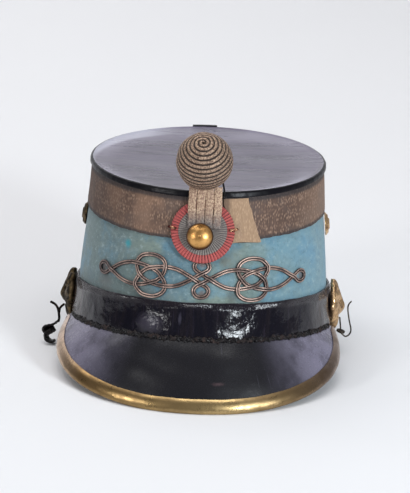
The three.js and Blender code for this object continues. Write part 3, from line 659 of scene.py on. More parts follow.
def leather_look(name, dark, light, dry_share, rough):
    """Old leather: finely cracked, lumpy and paler where it is dry."""
    m = Look(name, Specular_IOR_Level=0.25)
    grain = m.cells(m.place(), 900)
    dry = m.noise(260, 6, 0.7)
    m.colour = m.mix(m.span(dry, *dry_share), dark, light)
    normal = m.bump(m.span(grain, 0, 0.2), 0.5, 0.0004, m.bump(dry, 0.6, 0.0012))
    return m.done(m.span(dry, 0.4, 0.7, rough, 0.75), 0, normal)


def metal_look(name, bright, dull, rough, share, scale, lumpy=0.0):
    """Worn metal: bright where it is rubbed and dull brown where it is tarnished."""
    m = Look(name)
    tarnish = m.noise(scale, 7, 0.65)
    pits = m.noise(scale * 9, 3, 0.6)
    m.colour = m.mix(m.span(tarnish, *share), bright, dull)
    roughness = m.span(tarnish, *share, rough, rough + 0.25)
    lumps = m.bump(m.noise(420, 2, 0.5), lumpy, 0.0014)
    return m.done(roughness, 1, m.bump(pits, 0.2, 0.0003, lumps))


def rim_look():
    """Brass binding, its colour along it painted with light and shade: pale grey painted reflection at
    its left end and again at its right end, a brighter painted highlight at the front, and browner,
    darker painted shade to the right of the front.
    """
    m = Look("rim_brass")
    along = m.split(m.wall())[0]
    # Painted light and shade along the binding, from its left end to its right.
    m.colour = m.ramp(
        along, (0.0, (226, 206, 192)), (0.14, (202, 176, 152)), (0.25, (144, 116, 78)),
        (0.4, (156, 130, 88)), (0.55, (184, 158, 112)), (0.68, (150, 126, 90)),
        (0.8, (120, 102, 86)), (0.9, (160, 142, 130)), (1.0, (196, 176, 164)),
    )
    tarnish = m.noise(55, 7, 0.65)
    m.tint((96, 76, 54), tarnish, 0.42, 0.7, 0.6)
    brushed = m.noise(12, 5, 0.6, over=m.wall(14, 1))
    roughness = m.plus(m.span(tarnish, 0.4, 0.7, 0.22, 0.42), m.times(brushed, 0.08))
    return m.done(roughness, 1, m.bump(m.noise(700, 3, 0.6), 0.2, 0.0003))


def button_look():
    m = Look("button_brass")
    from_pole = m.split(m.wall())[0]
    tarnish = m.noise(260, 5, 0.6)
    m.colour = m.mix(m.span(tarnish, 0.4, 0.7), (214, 164, 100), (164, 118, 68))
    # Painted shade: the dome is painted darker brown towards its edge.
    m.tint((82, 62, 44), from_pole, 0.42, 0.68)
    return m.done(m.span(from_pole, 0.4, 0.68, 0.38, 0.5), 1)


def bullion_look():
    """Wound metal cord: short painted glints across the cord, and a dark line of painted shade between
    its turns.
    """
    m = Look("bullion")
    along = m.split(m.wall())[0]
    crest = m.span(m.math("PINGPONG", along, 0.0015), 0.0002, 0.001)
    glints = m.noise(1500, 3, 0.7)
    # Painted glints.
    m.colour = m.mix(m.span(glints, 0.38, 0.62), (84, 62, 52), (190, 162, 138))
    # Painted shade in the groove between turns.
    m.colour = m.mix(crest, (44, 34, 30), m.colour)
    return m.done(m.span(glints, 0.4, 0.6, 0.65, 0.4), 0.45, m.bump(glints, 0.6, 0.0005))


def braid_look():
    """Smooth drawn cord, with a painted highlight along its crest, and painted shade where cords lie
    side by side and over the knot's left end.
    """
    m = Look("braid")
    around = m.split(m.wall())[1]
    grime = m.noise(110, 5, 0.65)
    m.colour = m.mix(m.span(grime, 0.4, 0.6), (180, 154, 142), (112, 94, 88))
    across = m.split(m.place())[0]
    # Painted shade over the knot's left end.
    m.tint((84, 74, 76), across, -0.04, -0.066, 0.75)
    # Painted shade away from each cord's crest, which leaves the crest painted bright.
    off_crest = m.math("ABSOLUTE", m.math("SUBTRACT", around, 0.25))
    m.tint((38, 30, 31), off_crest, 0.05, 0.16)
    return m.done(0.4, 0.5)


def ribbon_look(name, light, dark, crease, pleats):
    """Pleated ribbon: each fold is painted from light to dark as painted light and shade, with a crease
    line of painted shade between folds.
    """
    m = Look(name)
    round_it = m.split(m.wall())[0]
    fold = m.math("FRACT", m.times(round_it, pleats))
    fade = m.noise(200, 4, 0.6)
    # Painted light and shade across each fold.
    m.colour = m.mix(m.span(fold, 0.1, 0.7), light, dark)
    m.tint(dark, fade, 0.4, 0.65, 0.45)
    open_fold = m.span(fade, 0.6, 0.42, 0.1, 0.9)
    # Painted shade in the crease between folds.
    m.paint(m.times(m.span(fold, 0.62, 0.8), open_fold), crease)
    return m.done(0.75, 0, m.bump(m.noise(1600, 2), 0.3, 0.0003))


PLEATS = 60
cloth = cloth_look()
lining = lining_look()
lace = lace_look()
patch_lace = patch_look()
loop_lace = loop_look()
top_patent = top_look()
skirt_patent = skirt_look()
band_patent = band_look()
peak_patent = peak_look()
welt_leather = leather_look("welt_leather", (12, 9, 12), (66, 51, 47), (0.48, 0.72), 0.14)
strap_leather = leather_look("strap_leather", (20, 17, 18), (50, 43, 42), (0.5, 0.8), 0.4)
brass = metal_look("brass", (214, 178, 134), (104, 80, 62), 0.26, (0.44, 0.68), 200, 0.3)
rim_brass = rim_look()
dark_wire = metal_look("dark_wire", (50, 42, 40), (24, 20, 20), 0.4, (0.35, 0.65), 300)
dark_brass = metal_look("dark_brass", (104, 88, 64), (44, 37, 30), 0.36, (0.35, 0.6), 200, 0.3)
staple_brass = metal_look("staple_brass", (198, 150, 118), (70, 38, 34), 0.16, (0.42, 0.56), 420)
wire_metal = metal_look("wire_metal", (92, 84, 76), (44, 38, 34), 0.35, (0.35, 0.65), 300)
button_brass = button_look()
bullion = bullion_look()
braid = braid_look()
red_ribbon = ribbon_look("red_ribbon", (196, 98, 93), (152, 66, 64), (84, 36, 38), PLEATS)
silver_ribbon = ribbon_look("silver_ribbon", (150, 141, 133), (102, 95, 93), (74, 67, 66), PLEATS)


# Crown

OUTER, INNER = 26, 12
# The wall's usual millimetres for each radian of turn, which ripples are counted along.
AROUND = 90


def under_top(turn):
    return top_height(turn) - TOP_THICK - GAP


def crown_section(turn):
    t = np.concatenate([even(OUTER), np.linspace(1, 0, INNER)])[None]
    height = blend(CROWN_FOOT, under_top(turn), t)
    soft = ripple(turn * AROUND, height, (0.16, 0.06, 0.05, 0.4), (0.1, 0.13, 0.11, 2.0))
    return height, np.where(np.arange(OUTER + INNER) < OUTER, soft - 0.1, -CROWN_WALL)


crown = wall_ring("crown_cloth", crown_section)
finish_piece(crown, ["crown"], [cloth, lining], 40)
places = (face.index % (OUTER + INNER) for face in crown.data.polygons)
lined = [int(OUTER <= place < OUTER + INNER - 1) for place in places]
crown.data.polygons.foreach_set("material_index", lined)


# Lace and the patch over it

def lace_section(turn):
    foot = lace_bottom(turn) + ripple(turn * AROUND, 0, (0.12, 0.7, 0, 0), (0.15, 0.23, 0, 1))
    t = np.concatenate([[0], even(12), [1]])[None]
    height = blend(foot, under_top(turn), t)
    out = np.array([GAP] + [1.0] + [1.15] * 10 + [1.1] + [GAP])[None]
    soft = ripple(turn * AROUND, height, (0.08, 0.19, 0.2, 0.3), (0.06, 0.43, 0.1, 1.2))
    return height, out + soft * (out > 0.5)


def count_from_foot(ob):
    """Counts the second coordinate of the lace's places from its lower edge."""
    layer = ob.data.uv_layers["wall"].uv
    uv = np.zeros(len(layer) * 2, np.float32)
    layer.foreach_get("vector", uv)
    uv = uv.reshape(-1, 2)
    way = uv[:, 0] * 1000
    turn = way / AROUND
    for _ in range(5):
        turn = turn_along(way, lace_bottom(turn))
    uv[:, 1] -= lace_bottom(turn) / 1000
    layer.foreach_set("vector", uv.ravel())


lace_ring = wall_ring("lace_band", lace_section, 288)
count_from_foot(lace_ring)
finish_piece(lace_ring, ["lace_band"], [lace], 40)

PATCH_FOOT, PATCH_HEAD = (18.6, 37.2), (12.6, 28.3)
PATCH_UNDER = 1.45
rows = even(22)[:, None]
cols = even(18)[None]
way = blend(blend(*PATCH_FOOT, cols), blend(*PATCH_HEAD, cols), rows)
way = way + ripple(rows * 25, 0, (0.25, 0.8, 0, 0))
turn = turn_along(way, 70.0)
foot = lace_bottom(turn) - 1.6 + 0.5 * np.sin(cols * 5)
height = blend(foot, top_height(turn) - SKIRT_DROP + 0.4, rows)
lift = 2.15 + 0.25 * np.sin(cols * 3.1) + 1.5 * np.clip(0.15 - rows, 0, 1)
outer, under = wall(turn, height, lift), wall(turn, height, PATCH_UNDER)
uv = together(way, height) / 1000
patch = loft("lace_patch", np.concatenate([outer, under[:, ::-1]], 1),
             uv=closed(np.concatenate([uv, uv[:, ::-1]], 1)))
finish_piece(patch, ["lace_patch"], [patch_lace], 40)


# Top

def top_points():
    turn = np.linspace(-np.pi, np.pi, 240, endpoint=False)[:, None]
    centre = np.array([0, SET_BACK, BODY_HEIGHT])
    edge = wall(turn, top_height(turn))
    share = np.array([0.004, 0.15, 0.3, 0.45, 0.6, 0.72, 0.83, 0.91, 0.96])
    disc = blend(centre, edge, share[None, :, None])
    x, y = disc[..., 0], disc[..., 1]
    bumps = ripple(x, y, (0.22, 0.045, 0.11, 0), (0.16, 0.09, -0.06, 2), (0.12, 0.03, 0.21, 1))
    disc[..., 2] += -1.6 * (1 - (share / 0.96) ** 2)[None] + bumps * (1 - share[None] ** 4)
    under = disc[:, ::-1].copy()
    under[..., 2] -= TOP_THICK
    rim = [(0.35, 0.05), (0.6, 0.28), (0.62, 0.9), (0.45, 1.6), (0.1, 2.15), (-0.5, 2.48),
           (-1.2, 2.42), (-2.1, 2.4), (-3.1, 2.45), (-3.6, 2.3), (-3.65, 1.5), (-1.9, 1.42)]
    drop, out = np.array(rim).T[:, None]
    out = out + ripple(turn * 80, drop, (0.05, 0.31, 0.3, 0))
    drop = np.where(drop < -1.3, -1.3 + (drop + 1.3) * (1 - 0.45 * np.sin(turn) ** 2), drop)
    side = wall(turn, top_height(turn) + drop, out)
    return np.concatenate([disc, side, under], 1)


points = top_points()
top = loft("crown_top", points, ring_rows=True, ring_columns=False)
finish_piece(top, ["crown_top"], [top_patent, skirt_patent], 50)
SKIRT_FACES = range(11, 20)
columns = points.shape[1] - 1
skirt = [int(face.index % columns in SKIRT_FACES) for face in top.data.polygons]
top.data.polygons.foreach_set("material_index", skirt)


# Band

def band_section(turn):
    head = band_top(turn) + ripple(turn * AROUND, 0, (0.12, 0.11, 0, 0), (0.1, 0.29, 0, 1))
    t = np.array([0, 0.02, 0.08, 0.2, 0.35, 0.5, 0.65, 0.8, 0.88, 0.94, 0.975, 1, 1])
    out = np.array([1.75, 2.7, 3.2, 3.3, 2.75, 2.2, 2.0, 1.98, 1.96, 2.0, 1.95, 1.5, 0.9])
    height = head * t[None]
    soft = ripple(turn * AROUND, height, (0.12, 0.11, 0.23, 0), (0.1, 0.21, -0.31, 2),
                  (0.07, 0.4, 0.17, 1))
    outer = out[None] + soft * (t > 0.03)
    inner_height = np.broadcast_to([1.6, 1.6, 0.0], (len(turn), 3))
    inner_out = np.broadcast_to([GAP, GAP - 6, GAP - 6], (len(turn), 3))
    height = np.concatenate([height, head, inner_height], 1)
    return height, np.concatenate([outer, GAP + 0 * head, inner_out], 1)


band = wall_ring("head_band", band_section, 288)
finish_piece(band, ["head_band"], [band_patent], 50)


# Peak

def floor_under(y):
    return (y * math.sin(LEAN) - STAND) / math.cos(LEAN)


SEAM_TURN, EDGE_TURN = math.radians(79), math.radians(107)
EDGE_HALF, EDGE_AHEAD, EDGE_MIDDLE = 88.5, 76.3, -46
RIM_BEAD = 1.9
PEAK_RUN = 110


def peak_seam(share):
    return wall(share * SEAM_TURN, 3.0, BAND_OUT + GAP + 1)


EDGE_BACK = (EDGE_MIDDLE - peak_seam(np.array(1.0))[1] - 1.1) / math.cos(EDGE_TURN)


def peak_edge(share):
    turn = share * EDGE_TURN
    y = EDGE_MIDDLE - np.where(np.cos(turn) > 0, EDGE_AHEAD, EDGE_BACK) * np.cos(turn)
    past = np.maximum(0, (np.abs(share) - 0.128) / 0.872)
    z = floor_under(y) + (18.5 * past**1.78 + RIM_BEAD * 0.82) / math.cos(LEAN)
    return together(EDGE_HALF * np.sin(turn), y, z)


def peak_width(share):
    return np.linalg.norm(peak_seam(share) - peak_edge(share), axis=-1)[:, None]


def on_peak(share, inside, over):
    edge, width = peak_edge(share), peak_width(share)
    inwards = (peak_seam(share) - edge) / width
    normal = unit(np.cross(peak_edge(share + 0.01) - peak_edge(share - 0.01), inwards))
    part = inside / width
    rise = over + 0.033 * width * np.maximum(0, 4 * part * (1 - part))
    return edge[:, None] + inwards[:, None] * inside[..., None] + normal[:, None] * rise[..., None]


share = np.linspace(-1, 1, 161)
width = peak_width(share)
t = even(26)
steps = blend(np.minimum(2.2, width * 0.4), width, t)
dents = np.sin(np.pi * t) * ripple(share[:, None] * PEAK_RUN, steps, (0.14, 0.13, 0.2, 0),
                                   (0.1, 0.31, -0.13, 1), (0.12, 0.07, 0.33, 2))
over = np.concatenate([1 + dents, -1 + 0 * dents], 1)
inside = np.concatenate([steps, steps[:, ::-1]], 1)
places = together(share[:, None] * PEAK_RUN, inside) / 1000
peak = loft("peak", on_peak(share, inside, over), uv=closed(places))
finish_piece(peak, ["peak"], [peak_patent], 50)

# Peak's binding, from its bead over the leather's edge and back
share = np.linspace(-1, 1, 241)
width = peak_width(share)
leather = np.minimum(2.2, width * 0.4) - 0.3
upper = np.minimum(6.9, width * 0.76) + ripple(share[:, None] * PEAK_RUN, 0, (0.08, 0.4, 0, 0))
lower = np.minimum(6, width * 0.7)
angle = np.radians(np.linspace(110, 298, 15))
bead = RIM_BEAD * np.cos(angle)[None] + 0 * width
hammer = ripple(share[:, None] * PEAK_RUN, bead, (0.05, 0.9, 0.4, 0), (0.04, 0.37, 0, 1))
inside = np.concatenate([bead, lower - 0.3, lower, lower, leather, leather, upper, upper, upper - 0.5,
                         *[upper * part for part in (0.75, 0.5, 0.25, 0)]], 1)
over = np.concatenate([RIM_BEAD * np.sin(angle)[None] + hammer, *[rise + 0 * width for rise in
                       (-1.75, -1.6, -1.3, -1.3, 1.3, 1.3, 1.5, 1.7, 2.15, 2.4, 2.4, 2.15)]], 1)
points = on_peak(share, inside, over)
points[..., 2] = np.maximum(points[..., 2], floor_under(points[..., 1]))
rim = loft("peak_rim", points)
finish_piece(rim, ["peak_rim"], [rim_brass], 45)

# Welt
share = np.linspace(-0.96, 0.96, 520)
angle = circle(20)[None]
run = share[:, None] * 130
crumple = ripple(run, angle, (0.2, 1.9, 2, 0), (0.17, 0.83, -1, 1), (0.14, 3.1, 3, 2),
                 (0.12, 1.3, -4, 0.5), (0.1, 4.3, 1, 1.5))
size = 1 + crumple + 0.12 * np.sin(run * 1.4)
drift = ripple(run, 0, (0.3, 0.35, 0, 0), (0.2, 0.71, 0, 1))
taper = 1 - 0.35 * share[:, None] ** 6
height = 4.6 + drift + 1.5 * taper * size * np.sin(angle)
out = BAND_OUT + 1.5 + 1.15 * taper * size * np.cos(angle) - 0.35 * np.sin(angle)
welt = loft("peak_welt", wall(share[:, None] * SEAM_TURN, height, out))
finish_piece(welt, ["peak_welt"], [welt_leather])


# Braid knot: one closed strand of two cords, over and under itself in turn

QUARTER = [
    (1, 0), (0.98, -0.19), (0.923, -0.25), (0.845, -0.016), (0.724, 0.349), (0.613, 0.512),
    (0.522, 0.496), (0.437, 0.388), (0.365, 0.217), (0.317, -0.062), (0.292, -0.426),
    (0.306, -0.736), (0.359, -0.946), (0.43, -1), (0.506, -0.9), (0.554, -0.581),
    (0.548, -0.248), (0.508, 0.062), (0.456, 0.279), (0.365, 0.419), (0.28, 0.457),
    (0.196, 0.388), (0.117, 0.171), (0.052, -0.054), (0, -0.24), (-0.047, -0.411),
    (-0.059, -0.612), (-0.038, -0.822), (0, -0.884),
]
KNOT_HALF, KNOT_MIDDLE = (76.7, 12.5), (1.5, 41)
quarter = np.array(QUARTER) * KNOT_HALF
half = np.concatenate([quarter * (-1, 1), quarter[::-1][1:]])
line = catmull(np.concatenate([half, (half * (1, -1))[::-1][1:-1]]), 1400, closed=True)


def crossings(line):
    """Places along a closed line where it crosses itself, as pairs of point numbers."""
    n = len(line)
    near = np.linalg.norm(line[:, None] - line[None], axis=-1)
    apart = np.abs(np.arange(n)[:, None] - np.arange(n)[None])
    far = 9
    near[np.minimum(apart, n - apart) < 25] = far
    found = []
    while near.min() < 0.45:
        i, j = np.unravel_index(near.argmin(), near.shape)
        found.append((min(i, j), max(i, j)))
        for a, b in ((i, j), (j, i)):
            rows, cols = (a + np.arange(-22, 23)) % n, (b + np.arange(-22, 23)) % n
            near[np.ix_(rows, cols)] = far
    return found


def weave_heights(line):
    """1 where the strand goes over itself and -1 where it goes under, in turn."""
    visits = sorted((k, pair) for pair in crossings(line) for k in pair)
    height = np.zeros(len(line))
    over = {}
    for order, (k, pair) in enumerate(visits):
        if pair in over:
            sign = -over[pair]
        else:
            sign = over[pair] = 1 if order % 2 else -1
        away = np.abs(np.arange(len(line)) - k)
        away = np.minimum(away, len(line) - away)
        height += sign * np.exp(-((away / 7.0) ** 2))
    return height


weave = np.clip(weave_heights(line), -1, 1)
ahead = unit(np.roll(line, -1, 0) - np.roll(line, 1, 0))
across = np.stack([-ahead[:, 1], ahead[:, 0]], 1)
angle = circle(12)
lift = (np.where(weave > 0, 1.0, 0.12) * weave)[:, None]
far = np.linspace(0, 0.46, len(line) + 1)[:, None]
uv = together(far, even(len(angle) + 1))
cords = []
for number in (-1, 1):
    side = number * 0.71 + 0.65 * np.cos(angle)
    way = KNOT_MIDDLE[0] + line[:, :1] + across[:, :1] * side
    height = KNOT_MIDDLE[1] + line[:, 1:] + across[:, 1:] * side
    out = 0.85 + 0.6 * np.sin(angle) + lift
    cords.append(loft("cord%d" % number, front(way, height, out), ring_rows=True, uv=uv))
knot = join("knot_braid", cords)
finish_piece(knot, ["knot_braid"], [braid])


# Cockade

COCKADE_WAY, COCKADE_HEIGHT = 0.9, 69.2


def polar(radius, angle, out):
    way, height = COCKADE_WAY + radius * np.sin(angle), COCKADE_HEIGHT + radius * np.cos(angle)
    return front(way, height, out)


angle = circle(PLEATS * 9)[:, None]
fold = (angle * PLEATS / (2 * np.pi)) % 1
knife = np.where(fold < 0.75, fold / 0.75, (1 - fold) / 0.25) - 0.5


def pleated(name, radii, outs, depths, back, scallop):
    radii, outs, depths = (np.array(v, float)[None] for v in (radii, outs, depths))
    rim = even(radii.shape[1])[None] ** 4
    radius = radii + scallop * knife * rim
    tops = polar(radius, angle, outs + depths * knife + 0.12 * np.sin(angle * 3))
    under = polar(radii[:, ::-1], angle, back + 0 * radii)
    reach = closed(np.concatenate([radii, radii[:, ::-1]], 1)) / 10
    ends = even(len(angle) + 1)[:, None]
    uv = together(ends, reach)
    return loft(name, np.concatenate([tops, under], 1), ring_rows=True, uv=uv)


red = pleated("cockade_outer", [13, 14, 15, 16.5, 18, 18.9, 19.1], [3.5, 3.75, 3.9, 3.95, 3.8, 3.5, 3.0],
              [0.4, 0.6, 0.65, 0.65, 0.6, 0.55, 0.3], 2.6, 0.3)
finish_piece(red, ["cockade"], [red_ribbon])
grey = pleated("cockade_inner", [0.5, 4, 8, 11, 13, 14, 14.4], [4.3, 4.3, 4.35, 4.35, 4.4, 4.35, 3.9],
               [0, 0.1, 0.25, 0.4, 0.5, 0.5, 0.3], 3.2, 0.2)
finish_piece(grey, [], [silver_ribbon])

# Lace loop, of four strips side by side
LOOP_WIDTH, LOOP_MIDDLE, LOOP_GROOVE, LOOP_STRIPS = 18.6, 1.6, 0.8, 4
LOOP_FOOT, LOOP_HEAD = 70.8, 96.4
strip = (LOOP_WIDTH + LOOP_GROOVE) / LOOP_STRIPS
half = (strip - LOOP_GROOVE) / 2
t = even(30)[:, None]
angle = circle(20)[None]
shape, bulge = squarish(np.cos(angle), 0.5), squarish(np.sin(angle), 0.7)
pieces = []
for number in range(LOOP_STRIPS):
    middle = LOOP_MIDDLE - LOOP_WIDTH / 2 + number * strip + half
    side = middle + (half + 0.3) * shape + 0.12 * np.sin(t * 9 + number)
    out = 5.5 + 0.62 * bulge + 0.15 * np.sin(t * 6 + number * 1.7)
    height = blend(LOOP_FOOT, LOOP_HEAD, t) + 0.35 * np.sin(number * 2.1) * t**6
    uv = together(closed(side), height) / 1000
    pieces.append(loft("strip%d" % number, front(side, height, out), uv=uv))
cockade_loop = join("cockade_loop", pieces)
finish_piece(cockade_loop, ["cockade_loop"], [loop_lace])

# Button and staples
steps = np.linspace(0, np.pi / 2, 14)
profile = [(max(8.1 * math.sin(a), 0.05), 5.7 * math.cos(a) + 0.5) for a in steps]
profile += [(8.3, 0.3), (8.3, 0.0), (8.0, -0.35), (7.4, -0.4), (0.05, -0.4)]
button = turned("cockade_button", profile, float(turn_along(-0.5, 65.7)), 65.7, 7.2)
finish_piece(button, ["cockade_button"], [button_brass])

for side, side_name in ((-1, "left"), (1, "right")):
    low = 0.5 + (1.1 if side < 0 else 2.3)
    rows = [(20.4, 71.0, low + 0.15), (19.9, 70.9, 4.6), (17.9, 70.5, 5.0), (15.4, 69.9, 4.95)]
    points = [front(COCKADE_WAY + side * away, height, out) for away, height, out in rows]
    staple = tube("cockade_staple_" + side_name, points, 0.85, 24)
    finish_piece(staple, ["cockade_staple_" + side_name], [staple_brass])


# Pompon, its stem and tie

TURNS, PER_TURN, CORD_WIDTH = 19.4, 10, 0.003
POMPON_CORE, POMPON_CENTRE = 16.65, np.array([0.5, -97.5, 114])
STEM_LEAN = math.radians(42.4)
theta = circle(150)[None]
row = np.arange(int(TURNS * PER_TURN) + 1)[:, None] / PER_TURN
down = np.pi * np.clip((row + theta / (2 * np.pi) - 0.5) / (TURNS + 0.2), 0.004, 0.996)
cross = (row % 1) * 2 - 1
crest = np.sqrt(1 - cross**2 * 0.98)
reach = POMPON_CORE + 0.8 * crest + 0.12 * np.sin(theta * 5 + row) + 0.1 * np.sin(theta * 3 + 1)
level = reach * np.sin(down)
ball = together(level * np.cos(theta), level * np.sin(theta), reach * 1.03 * np.cos(down))
pole = Matrix.Rotation(math.radians(-5), 3, "Z") @ Matrix.Rotation(math.radians(45), 3, "X")
uv = together(row * CORD_WIDTH, even(theta.size + 1))
pompon = loft("pompon", ball @ np.array(pole).T + POMPON_CENTRE, uv=uv)
finish_piece(pompon, ["pompon"], [bullion])

in_ball = POMPON_CENTRE + 18.6 * np.array([0, math.sin(STEM_LEAN), -math.cos(STEM_LEAN)])
stem = tube("pompon_stem", [front(0.5, 89.1, 3.67), front(0.5, 93.4, 3.67), in_ball], 0.87, 20)
finish_piece(stem, ["pompon_stem"], [wire_metal])
in_ball = POMPON_CENTRE + 18 * unit(np.array([0.62, 0.42, -0.66]))
cord = tube("cord", [front(12.6, 90.3, 3.3), front(12.4, 94.9, 3.3), in_ball], 0.6, 24, 10)
end = tube("end", [front(11.4, 89.9, 3.4), front(12.6, 90.4, 3.5), front(13.9, 91.1, 3.4)], 1.0, 12)
tie = join("pompon_tie", [cord, end])
finish_piece(tie, ["pompon_tie"], [strap_leather])


# Ventilators and bosses

# The vents' outline, as pairs of radius and distance out.
VENT = [
    (0.05, 0.9), (1.8, 0.9), (2.2, 2.6), (2.6, 3.1), (3.1, 3.15), (3.6, 2.7), (4.1, 2.0),
    (4.7, 2.0), (5.2, 2.35), (5.8, 2.3), (6.4, 1.6), (6.9, 1.2), (7.3, 0.9), (7.5, 0.4),
    (7.5, 0.0), (0.05, 0.0),
]
# The lion's muzzle, forehead, brows, eyes and mouth: each one's place, width, height and rise.
RELIEF = [
    (0, -0.1, 0.3, 0.24, 0.34), (0, 0.2, 0.13, 0.26, 0.18), (0.3, 0.42, 0.2, 0.14, 0.16),
    (-0.3, 0.42, 0.2, 0.14, 0.16), (0.3, 0.19, 0.13, 0.09, -0.14), (-0.3, 0.19, 0.13, 0.09, -0.14),
    (0, -0.4, 0.3, 0.06, -0.16),
]
# SIDE_RADIUS is the wall's own roundness there, which the bosses bend to.
BOSS_WIDE, BOSS_TALL, BOSS_DEEP, BOSS_HEIGHT = 13, 16.8, 8, 14.0
SIDE_RADIUS = 123.6


def hump(across, wide, up, tall):
    return np.exp(-((across / wide) ** 2) - (up / tall) ** 2)


def boss(name, turn):
    angle = circle(132)[:, None]
    radius = np.concatenate([np.linspace(0.01, 1, 44), [1.0, 0.5, 0.01]])[None]
    hair = 0.5 + 0.5 * np.cos(angle * 11 + radius * 5)
    mane = np.clip((radius - 0.45) / 0.3, 0, 1)
    lobe = 1 - 0.1 * radius * (1 - hair) * (radius > 0.6)
    x, y = radius * lobe * np.sin(angle), radius * lobe * np.cos(angle)
    relief = 0.62 * np.sqrt(np.clip(1 - x**2 - y**2, 0, 1))
    for bx, by, wide, tall, rise in RELIEF:
        relief = relief + rise * hump(x - bx, wide, y - by, tall)
    nostrils = hump(np.abs(x) - 0.1, 0.05, y + 0.2, 0.04)
    pupils = hump(np.abs(x) - 0.3, 0.06, y - 0.19, 0.04)
    fine = 0.09 * mane * (hair - 0.5) + 0.025 * mane * np.cos(angle * 41 + radius * 9)
    relief = BOSS_DEEP * (relief + fine - 0.05 * nostrils + 0.05 * pupils)
    relief = np.maximum(relief, 0) + 1.2
    relief[:, -3:] = 0
    along = BOSS_WIDE * x
    relief = relief - along**2 / 2 / SIDE_RADIUS
    points = relief_on_wall(turn, BOSS_HEIGHT, 2.5, along, BOSS_TALL * y, relief)
    return loft(name, points, ring_rows=True, ring_columns=False)


for side, side_name, look, slot in (
    (-1, "left", dark_brass, "dark_brass"), (1, "right", brass, "brass")
):
    vent = turned("vent_" + side_name, VENT, side * math.pi / 2, 66.8, 0.4, 72)
    finish_piece(vent, ["vent_" + side_name], [look])
    head = boss("boss_" + side_name, side * math.pi / 2)
    finish_piece(head, ["boss_" + side_name], [look])


# Hooks

def hang(side, rows):
    """Points beside the band, from their distances out, ahead and up from its foot."""
    x = side * (BASE_WIDTH + BAND_OUT + 0.1)
    return [np.array([x + side * out, -ahead, height]) for out, ahead, height in rows]


left_long = [(16.1, -0.5, 7.2), (12.8, -0.5, 5.4), (10.9, 0, 2.8), (10, 0.6, -0.6), (9.7, 1.8, -3.7),
             (10.3, 3, -5.8)]
left_link = [(10, 0.6, -0.2), (9.3, 0.2, 3.4), (6.5, 0, 6.2)]
left_hook = join("hook_left", [tube("hook", hang(-1, left_long), 0.85),
                               tube("link", hang(-1, left_link), 0.8, 24)])
finish_piece(left_hook, ["hook_left"], [dark_wire])
pin = [(6.6, -0.6, 6), (7.2, -0.6, 1.4), (7.7, -0.6, -3.4)]
right_long = [(7.6, -0.6, -4.2), (9.4, -0.6, -5.9), (11.1, -0.6, -6.8), (13, -0.6, -5.8),
              (14.2, -0.6, -3.7), (14.2, -0.6, -1), (12.8, -0.6, 4.5), (11.7, -0.6, 11.3),
              (12.1, -0.6, 14.4), (13.9, -0.6, 16.8)]
low, slant = hang(1, pin)[-1], np.array([0.2, -0.15, 0.8])
washer = tube("washer", [low - slant, low, low + slant], 2.9, 10, 24)
wires = [tube("pin", hang(1, pin), 0.5, 20), tube("hook", hang(1, right_long), 0.5, 90)]
right_hook = join("hook_right", [*wires, washer])
finish_piece(right_hook, ["hook_right"], [wire_metal])

# Strap remnant
rows = [(10.6, 8, -4.8), (13, 9, -6.4), (17.8, 10, -8.4), (16.4, 10.5, -10.4), (12.8, 11, -9.6),
        (16.6, 11, -12.6), (16.2, 11, -15.8), (13.2, 11.5, -17.2), (11, 12, -16.4)]
STRAP_WIDTH = 8
path = catmull(hang(-1, rows), 110)
ahead = unit(np.gradient(path, axis=0))
flat_side = np.array([0, -1.0, 0])
lift = unit(np.cross(ahead, flat_side))
far = even(len(path))[:, None]
angle = circle(22)[None]
wide = STRAP_WIDTH / 2 * (1 - 0.26 * far) * (1 + 0.06 * np.sin(far * 40))
wide = wide * squarish(np.cos(angle), 0.35)
thick = 0.78 * squarish(np.sin(angle), 0.6) * (1 + 0.12 * np.sin(far * 70 + np.cos(angle) * 4))
twist = 0.5 * np.sin(np.pi * far)
face = flat_side * np.cos(twist) + lift * np.sin(twist)
edge = lift * np.cos(twist) - flat_side * np.sin(twist)
points = path[:, None] + face[:, None] * wide[..., None] + edge[:, None] * thick[..., None]
strap = loft("strap_remnant", points)
finish_piece(strap, ["strap_remnant"], [strap_leather])

# Rear tab
TAB_HALF, TAB_WAY = 8, 5.5
turn = np.pi - (np.linspace(-TAB_HALF, TAB_HALF, 16)[:, None] - TAB_WAY) / TOP_WIDTH
rows = [(-9, 2.85), (-4, 2.85), (0, 2.85), (0.85, 2.3), (0.85, 0.4), (1.5, 0.4), (1.6, 2.6),
        (1.1, 3.5), (0, 3.85), (-4, 3.9), (-9, 3.85)]
rise, out = np.array(rows).T[:, None]
tab = loft("rear_tab", wall(turn, top_height(turn) + rise, out))
finish_piece(tab, ["rear_tab"], [skirt_patent], 45)


# Floor, light and camera

# The paper's side view, as pairs of distance back and height in metres.
bend = np.array([(-3.0, 0.0), (1.2, 0.0), (1.6, 0.05), (1.9, 0.25), (2.05, 0.6), (2.1, 3.0)])
side = np.linspace(-4, 4, 3)[:, None]
sweep = together(side, bend[None, :, 0], bend[None, :, 1])
mesh = bpy.data.meshes.new("studio_floor")
mesh.from_pydata(sweep.reshape(-1, 3).tolist(), [], grid_faces(3, len(bend), False, False).tolist())
mesh.materials.append(Look("floor_paper", Base_Color=rgb(228, 228, 230)).done(0.9).material)
mesh.polygons.foreach_set("use_smooth", [True] * len(mesh.polygons))
floor = linked("studio_floor", mesh)

world_light = bpy.data.worlds.new("studio")
world_light.use_nodes = True
scene.world = world_light
tree = world_light.node_tree
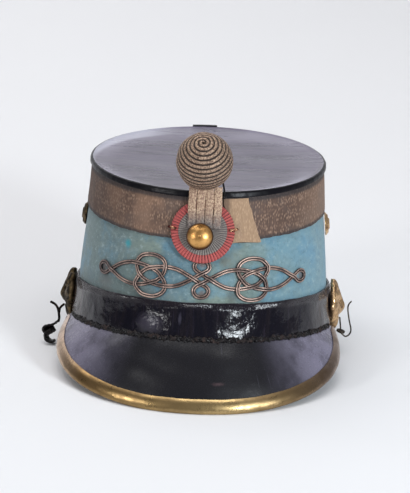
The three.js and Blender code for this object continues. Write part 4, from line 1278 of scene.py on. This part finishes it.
# The room is brighter behind the hat than in front of it, and darker far to the left.
facing = add_node(tree, "TexCoord", {})
rightward, backward, _ = add_node(tree, "SeparateXYZ", {0: facing}, slice(3))
room = add_node(tree, "MapRange", {0: backward, 1: 0.1, 2: 0.62, 3: 0.28, 4: 0.82})
flag = add_node(tree, "MapRange", {0: rightward, 1: -0.95, 2: -0.2, 3: 0.55, 4: 1.0})
both = add_node(tree, "Math", {0: room, 1: flag}, operation="MULTIPLY")
back = tree.nodes["Background"]
back.inputs["Color"].default_value = (0.95, 0.96, 1, 1)
feed(tree, back.inputs["Strength"], both)


def lamp(name, place, target, size, power, colour=(1, 1, 1)):
    data = bpy.data.lights.new(name, "AREA")
    data.shape, data.size, data.size_y = "RECTANGLE", size[0], size[1]
    data.energy, data.color = power, colour
    ob = linked(name, data)
    ob.location = place
    ob.rotation_mode = "QUATERNION"
    ob.rotation_quaternion = (Vector(target) - Vector(place)).to_track_quat("-Z", "Y")


hat_middle = (0, 0, 0.06)
lamp("left_box", (-1.08, -1.02, 0.6), hat_middle, (0.36, 0.3), 6)
lamp("right_box", (0.95, -1.17, 0.57), hat_middle, (0.32, 0.25), 16, (0.88, 0.95, 1))
lamp("over_box", (0, -0.3, 1.5), hat_middle, (1.4, 0.35), 6)
lamp("paper_light", (-0.8, 0.7, 1.9), (-0.6, 1.9, 0.3), (2.4, 0.8), 28)

# The camera as fitted to the photograph, whose height and lens are counted in its pixels.
PHOTO_HEIGHT, FOCAL, SENSOR = 493, 2335.5, 36
DISTANCE, AIM_HEIGHT = 1.5183, 60.73
yaw, pitch, roll = math.radians(1.662), math.radians(17.568), math.radians(-2.171)
forward = Vector((-math.cos(pitch) * math.sin(yaw), math.cos(pitch) * math.cos(yaw), -math.sin(pitch)))
right = Vector((math.cos(yaw), math.sin(yaw), 0))
up = right.cross(forward)
view_right = right * math.cos(roll) - up * math.sin(roll)
view_up = right * math.sin(roll) + up * math.cos(roll)
target = Vector((SHIFT[0], SHIFT[1], AIM_HEIGHT)) / 1000
camera_data = bpy.data.cameras.new("camera")
camera_data.sensor_width = SENSOR
camera_data.lens = FOCAL * SENSOR / PHOTO_HEIGHT
camera_data.shift_x = 1.07 / PHOTO_HEIGHT
camera_data.shift_y = 9.016 / PHOTO_HEIGHT
camera = linked("camera", camera_data)
matrix = Matrix((view_right, view_up, -forward)).transposed().to_4x4()
matrix.translation = target - forward * DISTANCE
camera.matrix_world = matrix
scene.camera = camera
scene.view_settings.view_transform = "Standard"
